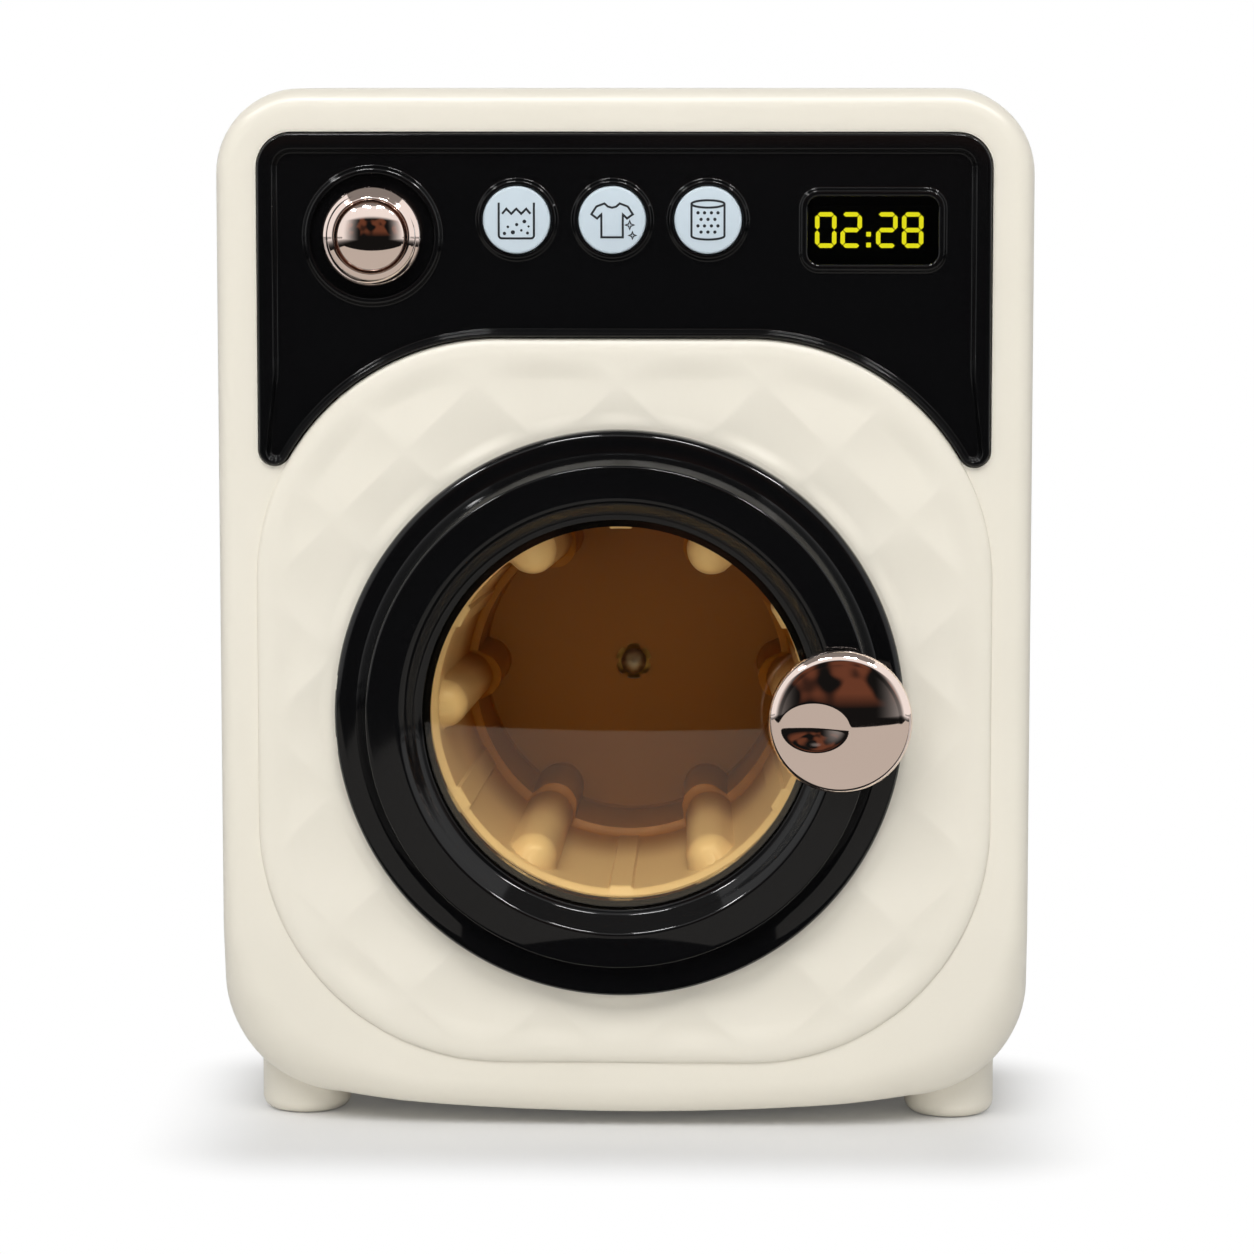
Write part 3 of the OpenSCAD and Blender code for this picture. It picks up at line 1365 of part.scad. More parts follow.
// Contact plates on the end walls of the bay
module battery_contacts() {
    color(steel) stand() for (row = [-1:1], s = [-1, 1])
        translate([s * (bay_w / 2 - 0.3), bay_z + row * cell_pitch, pad_p + bay_deep / 2]) {
            cube([0.6, 10, 10], center = true);
            depth = contact_room - 0.9;
            translate([-s * (0.3 + depth / 2), 0, bay_deep / 2 - cell_r - 0.1]) rotate([0, 90, 0])
                cylinder(h = depth, r1 = s > 0 ? 2 : 4, r2 = s > 0 ? 4 : 2, center = true);
        }
}

module battery_cover() {
    color(cream) stand() difference() {
        translate([0, plate_z])
            slab(back_p, back_p + cover_plate)
                square([plate_w, plate_h], center = true);
        post([0, cover_screw_z], back_p - 1, 0, pass_r);
        post([0, cover_screw_z], back_p - 1, back_p + 1, head_r + 0.2);
        for (i = [-4:4]) translate([0, plate_bottom + 8 + (i + 4) * 1.6])
            slab(back_p - 1, back_p + 0.5) square([16, 0.8], center = true);
    }
}

module cover_screw() {
    color(steel) stand() screw([0, cover_screw_z], back_p + 1, 6, screw_r, head_r, 0.9);
}

module switch_body() {
    color(black) stand() translate([switch_x, switch_z]) difference() {
        slab(back_wall_p + 3, back_wall_p + 9) square([14, 8 + 16], center = true);
        slab(back_wall_p + 2, back_wall_p + 6)
            square([slider_w + switch_travel + 2 * run, slider_h + 2 * run], center = true);
        for (z = [-1, 1]) post([0, z * 8], 2 * back_p, 0, pass_r);
    }
}

module power_slider() {
    color(black) stand() translate([switch_x - switch_travel / 2, switch_z])
        slab(back_p + 0.2, back_wall_p + 5.6) square([slider_w, slider_h], center = true);
}

module switch_screws() {
    color(steel) stand() for (z = [-1, 1])
        small_screw([switch_x, switch_z + z * 8], back_wall_p + 9, 8, -1);
}

// Insulated lead: straight runs between its points, with a ball at each bend
module lead(points) {
    for (i = [0:len(points) - 2]) {
        run_to = points[i + 1] - points[i];
        turn = atan2(norm([run_to[0], run_to[1]]), run_to[2]);
        translate(points[i]) rotate([0, turn, atan2(run_to[1], run_to[0])])
            cylinder(h = norm(run_to), r = lead_r, $fn = 24);
        translate(points[i]) sphere(bend_r, $fn = 24);
    }
    translate(points[len(points) - 1]) sphere(bend_r, $fn = 24);
}

// Leads between the battery box, the switch, the board, the motor and the loudspeaker
module wire_harness() {
    box_front = pad_p + bay_deep + box_wall + bend_r;
    switch_front = back_wall_p + 9 + bend_r;
    board_rear = board_back - bend_r;
    side_x = body_w / 2 - wall - 14;
    magnet_front = back_wall_p + speaker_d + bend_r;
    motor_side = motor_at + [-motor_w / 2 - bend_r, 0];
    color([0.7, 0.15, 0.12]) stand() {
        lead([[30, bay_z + 10, box_front], [48, bay_z + 16, box_front + 2],
            [switch_x, switch_z - 2, switch_front]]);
        lead([[switch_x + 3, switch_z + 2, switch_front], [side_x, switch_z + 30, switch_front + 6],
            [side_x, panel_top - 12, -split_d], [60, button_z - 8, board_rear - 12],
            [60, button_z - 8, board_rear]]);
        lead([[-30, bay_z + 10, box_front], [-side_x, bay_z + 40, box_front + 6],
            [-side_x, panel_top - 12, -split_d], [-40, button_z - 8, board_rear - 12],
            [-40, button_z - 8, board_rear]]);
        lead([[motor_side[0], motor_side[1], -motor_end + 6],
            [-side_x + 6, motor_side[1] + 20, -motor_end + 16],
            [-side_x + 6, panel_top - 12, -split_d], [-30, button_z - 8, board_rear - 14],
            [-30, button_z - 8, board_rear]]);
        lead([[4, speaker_z, magnet_front], [8, speaker_z + 6, magnet_front + 10],
            [10, button_z - 8, board_rear - 14], [10, button_z - 8, board_rear]]);
    }
}

front_shell();
rear_shell();
shell_screws();
feet();
foot_screws();
control_fascia();
fascia_screws();
display_lens();
display_module();
display_digits();
main_board();
board_screws();
keypad();
button_wash();
button_clothes();
button_drum();
knob();
knob_shaft();
knob_switch();
door_ring();
door_back();
door_window();
door_screws();
door_handle();
handle_screw();
latch_tongue();
latch_catch();
latch_screws();
hinge_bracket();
hinge_screws();
hinge_pin();
drum();
drum_screw();
drum_shaft();
drum_bush();
tub();
tub_screws();
gearbox_cover();
gearbox_case();
gearbox_screws();
drum_gear();
idler_gear();
idler_pin();
motor_pinion();
motor_shaft();
motor();
motor_retainer();
motor_screws();
speaker();
speaker_screws();
battery_box();
battery_box_screws();
battery_cells();
battery_contacts();
battery_cover();
cover_screw();
switch_body();
power_slider();
switch_screws();
wire_harness();
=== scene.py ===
import json

import bmesh
import bpy
import numpy as np
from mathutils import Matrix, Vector


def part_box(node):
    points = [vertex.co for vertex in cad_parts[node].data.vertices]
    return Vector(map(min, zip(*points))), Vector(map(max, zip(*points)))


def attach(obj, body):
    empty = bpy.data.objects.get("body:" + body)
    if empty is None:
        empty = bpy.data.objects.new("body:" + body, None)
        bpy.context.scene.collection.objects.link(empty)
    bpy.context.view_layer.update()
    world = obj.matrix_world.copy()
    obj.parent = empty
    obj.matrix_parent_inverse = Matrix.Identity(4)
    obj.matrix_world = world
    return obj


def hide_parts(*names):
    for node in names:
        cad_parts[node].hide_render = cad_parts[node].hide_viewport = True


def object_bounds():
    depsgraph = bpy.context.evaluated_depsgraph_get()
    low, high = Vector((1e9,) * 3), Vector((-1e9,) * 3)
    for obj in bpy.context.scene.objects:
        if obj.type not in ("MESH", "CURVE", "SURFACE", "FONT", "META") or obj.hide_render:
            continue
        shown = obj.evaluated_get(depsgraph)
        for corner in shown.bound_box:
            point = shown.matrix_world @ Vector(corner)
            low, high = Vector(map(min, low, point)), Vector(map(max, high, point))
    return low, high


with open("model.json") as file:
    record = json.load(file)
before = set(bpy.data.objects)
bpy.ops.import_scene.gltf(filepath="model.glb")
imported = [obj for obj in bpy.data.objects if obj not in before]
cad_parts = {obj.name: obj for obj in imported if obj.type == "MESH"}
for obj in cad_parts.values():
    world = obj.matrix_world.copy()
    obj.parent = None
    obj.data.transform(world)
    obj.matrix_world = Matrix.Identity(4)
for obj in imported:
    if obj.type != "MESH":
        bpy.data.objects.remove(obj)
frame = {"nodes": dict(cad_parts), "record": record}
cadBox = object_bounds()
nodes = frame["nodes"]
print("frame loaded")

# Everything below is drawn as seen from the front, in millimetres: x to the right, z up, and the height
# towards the viewer over the frame round the controls. lift() turns that into the model's metres.
mm = 0.001
weldReach = 2e-6  # metres; points of a piece that lie closer become one
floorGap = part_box("front_shell")[0].z / mm
body = {"wide": 216, "low": floorGap, "top": floorGap + 272.6, "topR": 19, "bottomR": 31, "bow": 4,
        "frontWide": 214.6, "frontTopR": 22.3, "split": 88,
        "edge": 5, "bottomEdge": 8, "cornerEdge": 15, "edgeDeep": 6, "cornerDeep": 13,
        "cornerHigh": floorGap + 53.9, "cornerIn": 55, "cornerFade": 36}
panel = {"wide": 194, "low": floorGap + 14.5, "high": 193, "round": 64, "raise": 1.8, "bevel": 4.2,
         "sunk": 3}
fascia = {"wide": 192, "top": floorGap + 261, "hornTop": floorGap + 197.9, "round": 9, "tip": 4, "gap": 0.4,
          "back": 3, "bead": 2, "beadTop": 5.3, "beadSide": 5.3, "beadArch": 2.1,
          "beadRound": 0.7, "beadSlope": 1.5, "fieldTip": 1.3, "fieldShift": 0.5}
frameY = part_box("control_fascia")[0].y / mm + fascia["bead"]


def middle(node):
    # x and z of the middle of a CAD node's box
    start, end = (np.array(c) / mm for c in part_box(node))
    return ((start + end) / 2)[[0, 2]]


def lift(points):
    # x, z and height over the frame face in millimetres to the model's own metres
    points = np.asarray(points, float)
    return np.stack([points[..., 0], frameY - points[..., 2], points[..., 1]], -1) * mm


def arc(centre, radius, start, end, count):
    # points round a centre from one angle to another, in degrees
    a = np.radians(np.linspace(start, end, count))
    return np.stack([centre[0] + radius * np.cos(a), centre[1] + radius * np.sin(a)], 1)


def line(start, end, count):
    # evenly spaced points from start to end
    t = np.linspace(0, 1, count)[:, None]
    return (1 - t) * np.array(start, float) + t * np.array(end, float)


def circle(steps):
    # directions at even angles once round
    a = np.linspace(0, 2 * np.pi, steps, endpoint=False)
    return np.stack([np.cos(a), np.sin(a)], -1)


def joined(*parts):
    # one path from stretches that share their end points
    return np.concatenate([part[:-1] for part in parts[:-1]] + [parts[-1]])


def quarter(count):
    # angles of a quarter round
    return np.linspace(0, np.pi / 2, count)


def mirrored(half):
    # closed outline from its right half, which runs from the top middle to the bottom middle
    return np.concatenate([half, (half * [-1, 1])[-2:0:-1]])


def grid(points, roundU=False, roundV=False, flip=False):
    # patch of quads over an array of rows and columns; roundU closes the rows, roundV the columns
    rows, cols = points.shape[:2]
    index = np.arange(rows * cols).reshape(rows, cols)
    if roundU:
        index = np.concatenate([index, index[:1]])
    if roundV:
        index = np.concatenate([index, index[:, :1]], 1)
    quads = np.stack([index[:-1, :-1], index[1:, :-1], index[1:, 1:], index[:-1, 1:]], -1).reshape(-1, 4)
    return points.reshape(-1, 3), (quads[:, ::-1] if flip else quads).tolist()


def loft(outlines, heights):
    # band through outlines of equal length, each at a height or with a height for each point
    rows = [np.column_stack([o, np.broadcast_to(h, len(o))]) for o, h in zip(outlines, heights)]
    return grid(np.stack(rows), False, True)


def turned(profile, centre, steps):
    # rows of points: centre + radius * direction at the profile's height, for each radius and height in it
    profile = np.array(profile, float)
    xz = profile[:, None, :1] * circle(steps)[None] + np.array(centre)
    return np.concatenate([xz, np.broadcast_to(profile[:, None, 1:], xz.shape[:2] + (1,))], -1)


def lathe(profile, centre, steps=96):
    # profile turned about an axis that points at the viewer; a radius of 0 closes it
    return grid(turned(profile, centre, steps), False, True)


def fill(outlines, height, towards=1):
    # flat face inside the first outline and outside the others
    mesh = bmesh.new()
    for outline in outlines:
        ring = [mesh.verts.new((x, z, 0)) for x, z in outline]
        for a, b in zip(ring, ring[1:] + ring[:1]):
            mesh.edges.new((a, b))
    bmesh.ops.triangle_fill(mesh, edges=mesh.edges[:], use_beauty=True, normal=(0, 0, towards))
    mesh.verts.index_update()
    points = np.array([(v.co.x, v.co.y, height) for v in mesh.verts])
    faces = [[v.index for v in f.verts] for f in mesh.faces]
    mesh.free()
    a, b, c = (points[[f[k] for f in faces]][:, :2] for k in range(3))
    turn = (b - a)[:, 0] * (c - a)[:, 1] - (b - a)[:, 1] * (c - a)[:, 0]
    return points, [f if t * towards > 0 else f[::-1] for f, t in zip(faces, turn)]


def rounded(wide, high, radius, centre=(0, 0), grow=0, count=10):
    # rectangle with round corners, clockwise from the top middle
    halfW, halfH, r = wide / 2 + grow, high / 2 + grow, max(radius + grow, 0.01)
    side = joined(line((0, halfH), (halfW - r, halfH), count),
                  arc((halfW - r, halfH - r), r, 90, 0, count),
                  line((halfW, halfH - r), (halfW, r - halfH), 2 * count),
                  arc((halfW - r, r - halfH), r, 0, -90, count),
                  line((halfW - r, -halfH), (0, -halfH), count))
    return mirrored(side) + np.array(centre)


def addObject(name, data):
    # new object in the scene
    made = bpy.data.objects.new(name, data)
    bpy.context.scene.collection.objects.link(made)
    return made


def weld(mesh, reach, dropClosed=False):
    # merges points of a mesh that lie within reach, and drops the faces that close up where asked
    work = bmesh.new()
    work.from_mesh(mesh)
    bmesh.ops.remove_doubles(work, verts=work.verts[:], dist=reach)
    if dropClosed:
        bmesh.ops.dissolve_degenerate(work, edges=work.edges[:], dist=1e-7)
    work.to_mesh(mesh)
    work.free()


def piece(name, patches, ridesOn, slot, replaces=(), sharp=35, stuff=None):
    # one mesh from patches whose shared edges are welded, with creases only at sharp angles; its material is
    # the finish of its slot unless another is given
    points, faces, base = [], [], 0
    for part, cells in patches:
        points.append(part)
        faces += [[i + base for i in cell] for cell in cells]
        base += len(part)
    mesh = bpy.data.meshes.new(name)
    mesh.from_pydata(lift(np.concatenate(points)).tolist(), [], faces)
    weld(mesh, weldReach, True)
    mesh.shade_smooth()
    mesh.set_sharp_from_angle(angle=np.radians(sharp))
    made = addObject(name, mesh)
    mesh.materials.append(stuff or finishes[slot])
    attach(made, ridesOn)
    if replaces:
        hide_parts(*replaces)
    return made


def bodyRing(wide, topR):
    # casing outline seen from the front, with the inward normal at each point
    low = body["low"] + body["bow"] + body["bottomR"]
    topHalf = wide / 2 - topR
    bowHalf = wide / 2 - body["bottomR"]
    bowR = (bowHalf ** 2 + body["bow"] ** 2) / (2 * body["bow"])
    x = np.linspace(bowHalf, 0, 15)
    bow = np.stack([x, body["low"] + bowR - np.sqrt(bowR ** 2 - x ** 2)], 1)
    ring = mirrored(joined(line((0, body["top"]), (topHalf, body["top"]), 10),
                           arc((topHalf, body["top"] - topR), topR, 90, 0, 17),
                           line((wide / 2, body["top"] - topR), (wide / 2, low), 16),
                           arc((bowHalf, low), body["bottomR"], 0, -90, 21),
                           bow))
    along = np.roll(ring, -1, 0) - np.roll(ring, 1, 0)
    along /= np.linalg.norm(along, axis=1, keepdims=True)
    return ring, np.stack([along[:, 1], -along[:, 0]], 1)


# The front half is moulded with a draft: from the parting line forwards it gets slimmer and rounder
splitRing, _ = bodyRing(body["wide"], body["topR"])
ring, inward = bodyRing(body["frontWide"], body["frontTopR"])


def smoothStep(t):
    # 0 below 0, 1 above 1, and a soft curve between
    t = np.clip(t, 0, 1)
    return t * t * (3 - 2 * t)


# How far the front edge's rounding reaches in from the outline and back along the sides: slim along the
# top and sides, and broad round the bottom corners
lowCorner = smoothStep((body["cornerHigh"] - ring[:, 1]) / body["cornerFade"])
sideways = smoothStep((np.abs(ring[:, 0]) - body["cornerIn"]) / body["cornerFade"])
roundIn = body["edge"] + lowCorner * (body["bottomEdge"] - body["edge"]
                                      + sideways * (body["cornerEdge"] - body["bottomEdge"]))
roundBack = body["edge"] + lowCorner * (body["edgeDeep"] - body["edge"]
                                        + sideways * (body["cornerDeep"] - body["edgeDeep"]))


def bodyLoop(inset, share=1):
    # outline moved inwards; share runs from 0 at the parting line to 1 at the front
    return splitRing + (ring - splitRing) * share + inward * np.reshape(inset, (-1, 1))


archX = panel["wide"] / 2 - panel["round"]
archZ = panel["low"] + panel["high"] - panel["round"]


def panelHalf(out, start=90, count=1):
    # right half of the panel's outline, grown by out, from an angle on its upper corner to the bottom middle
    halfW, r = panel["wide"] / 2 + out, panel["round"] + out
    bottom = panel["low"] + panel["round"]
    parts = [arc((archX, archZ), r, start, 0, 26 * count),
             line((halfW, archZ), (halfW, bottom), 15 * count),
             arc((archX, bottom), r, 0, -90, 30 * count),
             line((archX, panel["low"] - out), (0, panel["low"] - out), 9 * count)]
    if start == 90:
        parts.insert(0, line((0, archZ + r), (archX, archZ + r), 9 * count))
    return joined(*parts)


tipX = fascia["wide"] / 2 - fascia["tip"]
tipZ = archZ + np.sqrt((panel["round"] + fascia["gap"] + fascia["tip"]) ** 2 - (tipX - archX) ** 2)
tipTurn = np.degrees(np.arctan2(tipZ - archZ, tipX - archX))


def fasciaHalf(side, top, r, tipAt, tip, turn, arch):
    # right half of an outline of the fascia: top, round corner, side, horn and the horn's round tip, which
    # ends at the angle turn, and then the arch over the panel where its radius is given
    parts = [line((0, top), (side - r, top), 24),
             arc((side - r, top - r), r, 90, 0, 13),
             line((side, top - r), (side, fascia["hornTop"]), 12),
             line((side, fascia["hornTop"]), (tipAt[0] + tip, tipAt[1]), 6),
             arc(tipAt, tip, 0, turn - 180, 15)]
    if arch:
        parts += [arc((archX, archZ), arch, turn, 90, 41),
                  line((archX, archZ + arch), (0, archZ + arch), 14)]
    return joined(*parts)


def upperHalf(grow, withArch):
    # right half of the fascia's own outline, grown by grow
    arch = panel["round"] + fascia["gap"] - grow if withArch else None
    return fasciaHalf(fascia["wide"] / 2 + grow, fascia["top"] + grow, fascia["round"] + grow,
                      (tipX, tipZ), fascia["tip"] + grow, tipTurn, arch)


fasciaLoop = mirrored(upperHalf(0, True))
openingLoop = mirrored(joined(upperHalf(fascia["gap"], False), panelHalf(0, tipTurn)))


def fieldOutline():
    # inner edge of the fascia's bead, point by point opposite the fascia's own outline
    arch, tip = panel["round"] + fascia["gap"] + fascia["beadArch"], fascia["fieldTip"]
    x = tipX - fascia["fieldShift"]
    z = archZ + np.sqrt((arch + tip) ** 2 - (x - archX) ** 2)
    turn = np.degrees(np.arctan2(z - archZ, x - archX))
    return mirrored(fasciaHalf(fascia["wide"] / 2 - fascia["beadSide"], fascia["top"] - fascia["beadTop"],
                               fascia["round"] - fascia["beadSide"], (x, z), tip, turn, arch))


print("outlines ready")


def nodeGroup(name, inputs, outputs):
    # empty shader node group with named sockets
    tree = bpy.data.node_groups.new(name, "ShaderNodeTree")
    for label, kind, value in inputs:
        socket = tree.interface.new_socket(label, in_out="INPUT", socket_type="NodeSocket" + kind)
        socket.default_value = value
    for label, kind in outputs:
        tree.interface.new_socket(label, in_out="OUTPUT", socket_type="NodeSocket" + kind)
    return tree, tree.nodes.new("NodeGroupInput"), tree.nodes.new("NodeGroupOutput")


def feed(tree, node, inputs):
    # gives each named or numbered input of a node a plain value or the output of another node
    for label, value in inputs.items():
        if isinstance(value, bpy.types.NodeSocket):
            tree.links.new(value, node.inputs[label])
        else:
            node.inputs[label].default_value = value
    return node


def objectPlace(tree):
    # coordinates on the piece
    return tree.nodes.new("ShaderNodeTexCoord").outputs["Object"]


def separate(tree, vector):
    # outputs X, Y and Z of a vector
    return feed(tree, tree.nodes.new("ShaderNodeSeparateXYZ"), {0: vector}).outputs


def noise(tree, vector, scale, detail, roughness=0.5):
    # cloudy pattern from 0 to 1
    return feed(tree, tree.nodes.new("ShaderNodeTexNoise"), {
        "Vector": vector, "Scale": scale, "Detail": detail, "Roughness": roughness}).outputs["Fac"]


def combine(tree, kind, a, b):
    # one sum on two outputs or numbers, such as MULTIPLY or MAXIMUM
    node = tree.nodes.new("ShaderNodeMath")
    node.operation = kind
    return feed(tree, node, {0: a, 1: b}).outputs[0]


def stretch(tree, vector, turn, scale):
    # coordinates turned and stretched, for marks that run one way
    return feed(tree, tree.nodes.new("ShaderNodeMapping"), {
        "Vector": vector, "Rotation": turn, "Scale": scale}).outputs[0]


def fadeOver(tree, value, start, end, first=0, last=1, soft=True):
    # goes from first to last while the value goes from start to end, along a soft curve or a straight line
    node = tree.nodes.new("ShaderNodeMapRange")
    node.interpolation_type = "SMOOTHSTEP" if soft else "LINEAR"
    return feed(tree, node, {"Value": value, "From Min": start, "From Max": end,
                             "To Min": first, "To Max": last}).outputs["Result"]


def blend(tree, share, first, second):
    # colour between a first and a second one
    node = tree.nodes.new("ShaderNodeMix")
    node.data_type = "RGBA"
    return feed(tree, node, {"Factor": share, "A": first, "B": second}).outputs["Result"]


def showShader(tree, shader):
    # shader on the surface of the material
    tree.links.new(shader, tree.nodes["Material Output"].inputs["Surface"])


def showBoth(tree, share, first, second):
    # surface between a first and a second shader
    showShader(tree, feed(tree, tree.nodes.new("ShaderNodeMixShader"), {
        "Fac": share, 1: first, 2: second}).outputs["Shader"])


def newMaterial(name):
    # material with nodes
    made = bpy.data.materials.new(name)
    made.use_nodes = True
    return made


def makeMoulding():
    # moulded plastic: cloudy colour, faint hazy patches and hairline rubs in the gloss, and a fine skin
    tree, given, made = nodeGroup(
        "mouldedSkin",
        [("Colour", "Color", (1, 1, 1, 1)), ("Deep", "Color", (0.9, 0.9, 0.9, 1)),
         ("Roughness", "Float", 0.3), ("Haze", "Float", 0.05), ("Rubs", "Float", 0.05)],
        [("Colour", "Color"), ("Roughness", "Float"), ("Height", "Float")])
    place = objectPlace(tree)
    m = mouldingLook
    clouds = noise(tree, place, m["cloudScale"], 3)
    colour = blend(tree, clouds, given.outputs["Deep"], given.outputs["Colour"])
    patches = combine(tree, "SUBTRACT", noise(tree, place, m["hazeScale"], 4, 0.6), 0.5)
    haze = combine(tree, "MULTIPLY", patches, given.outputs["Haze"])
    rubs = [noise(tree, stretch(tree, place, turn, m["rubScale"]), 1, 2) for turn in m["rubTurns"]]
    fine = combine(tree, "POWER", combine(tree, "MAXIMUM", *rubs), m["rubPower"])
    gloss = combine(tree, "ADD", combine(tree, "ADD", given.outputs["Roughness"], haze),
                    combine(tree, "MULTIPLY", fine, given.outputs["Rubs"]))
    feed(tree, made, {"Colour": colour, "Roughness": gloss, "Height": noise(tree, place, m["skinScale"], 2)})
    return tree


mouldingLook = {"cloudScale": 26, "hazeScale": 48, "skinScale": 620, "rubScale": (40, 1400, 1400),
                "rubTurns": ((0.2, 0.5, 0.7), (1.1, -0.6, 2.1)), "rubPower": 9}
moulding = makeMoulding()


def linear(red, green, blue):
    # screen colour from 0 to 255 to the colour that the renderer mixes
    c = np.array([red, green, blue]) / 255
    return tuple(np.where(c < 0.04045, c / 12.92, ((c + 0.055) / 1.055) ** 2.4)) + (1,)


def moulded(name, colour, deep, roughness, haze=0.04, rubs=0.1, skin=0.004, **settings):
    # material on the moulded skin; settings are sockets of the shader itself
    made = newMaterial(name)
    tree = made.node_tree
    surface = tree.nodes.new("ShaderNodeGroup")
    surface.node_tree = moulding
    feed(tree, surface, {"Colour": linear(*colour), "Deep": linear(*deep), "Roughness": roughness,
                         "Haze": haze, "Rubs": rubs})
    bump = feed(tree, tree.nodes.new("ShaderNodeBump"), {
        "Strength": 1, "Distance": skin * mm, "Height": surface.outputs["Height"]})
    shader = tree.nodes["Principled BSDF"]
    feed(tree, shader, {"Base Color": surface.outputs["Colour"], "Roughness": surface.outputs["Roughness"],
                        "Normal": bump.outputs["Normal"]})
    feed(tree, shader, {label.replace("_", " "): value for label, value in settings.items()})
    return made


finishes = {
    "cream_plastic": moulded("creamPlastic", (236, 230, 216), (231, 225, 210), 0.33, skin=0.01),
    "black_plastic": moulded("blackGloss", (13, 13, 14), (9, 9, 10), 0.07, haze=0.03, rubs=0.1, skin=0.002,
                             Specular_IOR_Level=0.32),
    "rose_chrome": moulded("roseChrome", (240, 222, 213), (236, 216, 206), 0.04, haze=0.02, rubs=0.06,
                           skin=0.001, Metallic=1),
    "ice_plastic": moulded("icePlastic", (200, 213, 221), (193, 207, 216), 0.36, haze=0.05),
    "clear_window": moulded("tintedWindow", (250, 238, 214), (248, 235, 209), 0.02, haze=0, rubs=0.03,
                            skin=0, Transmission_Weight=1, IOR=1.46),
    "smoked_lens": moulded("smokedLens", (90, 96, 96), (84, 92, 92), 0.03, haze=0, rubs=0.02, skin=0,
                           Transmission_Weight=1, IOR=1.46),
    "lit_segments": moulded("litSegments", (236, 224, 40), (226, 212, 20), 0.5),
    "display_black": moulded("displayBlack", (16, 19, 18), (11, 13, 13), 0.4),
    "steel": moulded("zincSteel", (188, 190, 192), (168, 170, 174), 0.3, haze=0.15, rubs=0.3, Metallic=1),
    "brass": moulded("springBrass", (214, 180, 110), (196, 160, 92), 0.3, haze=0.12, rubs=0.3, Metallic=1),
    "board_green": moulded("boardGreen", (34, 92, 58), (24, 76, 46), 0.35),
    "keypad_rubber": moulded("keypadRubber", (196, 196, 192), (180, 181, 178), 0.7, skin=0.02),
    "dark_plastic": moulded("darkPlastic", (52, 53, 56), (42, 43, 46), 0.45),
    "pale_plastic": moulded("palePlastic", (226, 224, 216), (212, 210, 202), 0.4),
    "speaker_black": moulded("speakerBlack", (30, 30, 32), (20, 20, 22), 0.7, skin=0.03),
    "cell_wrap": moulded("cellWrap", (66, 128, 88), (48, 108, 72), 0.3),
    "lead_insulation": moulded("leadInsulation", (176, 52, 44), (150, 40, 34), 0.42)}


def letLightThrough(mat, tint):
    # lets lamp light and scattered light pass a clear piece straight, tinted, so that what is behind is lit
    tree = mat.node_tree
    path = tree.nodes.new("ShaderNodeLightPath").outputs
    clear = feed(tree, tree.nodes.new("ShaderNodeBsdfTransparent"), {"Color": linear(*tint)})
    showBoth(tree, combine(tree, "MAXIMUM", path["Is Shadow Ray"], path["Is Diffuse Ray"]),
             tree.nodes["Principled BSDF"].outputs["BSDF"], clear.outputs["BSDF"])


def paintDeepShade(mat, colour, start, end, bounceShade):
    # painted shade: darkens a material's colour towards the back of the piece, from start to end in metres,
    # where its inside lies in shade, and by a share for the light that it scatters on to its neighbours,
    # which dims that bounce light as painted shade
    tree = mat.node_tree
    base = tree.nodes["Principled BSDF"].inputs["Base Color"]
    deepShade = fadeOver(tree, separate(tree, objectPlace(tree))["Y"], start, end)
    path = tree.nodes.new("ShaderNodeLightPath").outputs
    share = combine(tree, "MAXIMUM", deepShade, combine(tree, "MULTIPLY", path["Is Diffuse Ray"], bounceShade))
    tree.links.new(blend(tree, share, base.links[0].from_socket, linear(*colour)), base)


# the drum's darker colour from its start to its end in metres is painted shade at the back of the drum, and
# its bounce share paints the same shade into the light the drum scatters
looks = {"windowTint": (251, 245, 232), "lensTint": (90, 96, 96), "drum": (253, 232, 188),
         "drumClouds": (248, 225, 179), "drumShadeColour": (168, 112, 34), "drumShadeFrom": -0.034, "drumShadeTo": 0.004,
         "drumBounceShade": 1.0, "glow": (246, 224, 30), "glowPower": 9}
letLightThrough(finishes["clear_window"], looks["windowTint"])
letLightThrough(finishes["smoked_lens"], looks["lensTint"])
drumPlastic = moulded("drumPlastic", looks["drum"], looks["drumClouds"], 0.3, skin=0.001,
                      Specular_IOR_Level=0.3)
# painted shade on the drum's plastic towards its back and in its bounce light
paintDeepShade(drumPlastic, looks["drumShadeColour"], looks["drumShadeFrom"], looks["drumShadeTo"], looks["drumBounceShade"])
inkMark = moulded("printedInk", (28, 34, 40), (22, 28, 34), 0.45)
litTree = finishes["lit_segments"].node_tree
feed(litTree, litTree.nodes["Principled BSDF"], {
    "Emission Color": linear(*looks["glow"]), "Emission Strength": looks["glowPower"]})
for row in frame["record"]["subparts"]:
    stuffs = nodes[row["node"]].data.materials
    stuffs.clear()
    stuffs.append(finishes[row["material_slot"]])
print("materials ready")


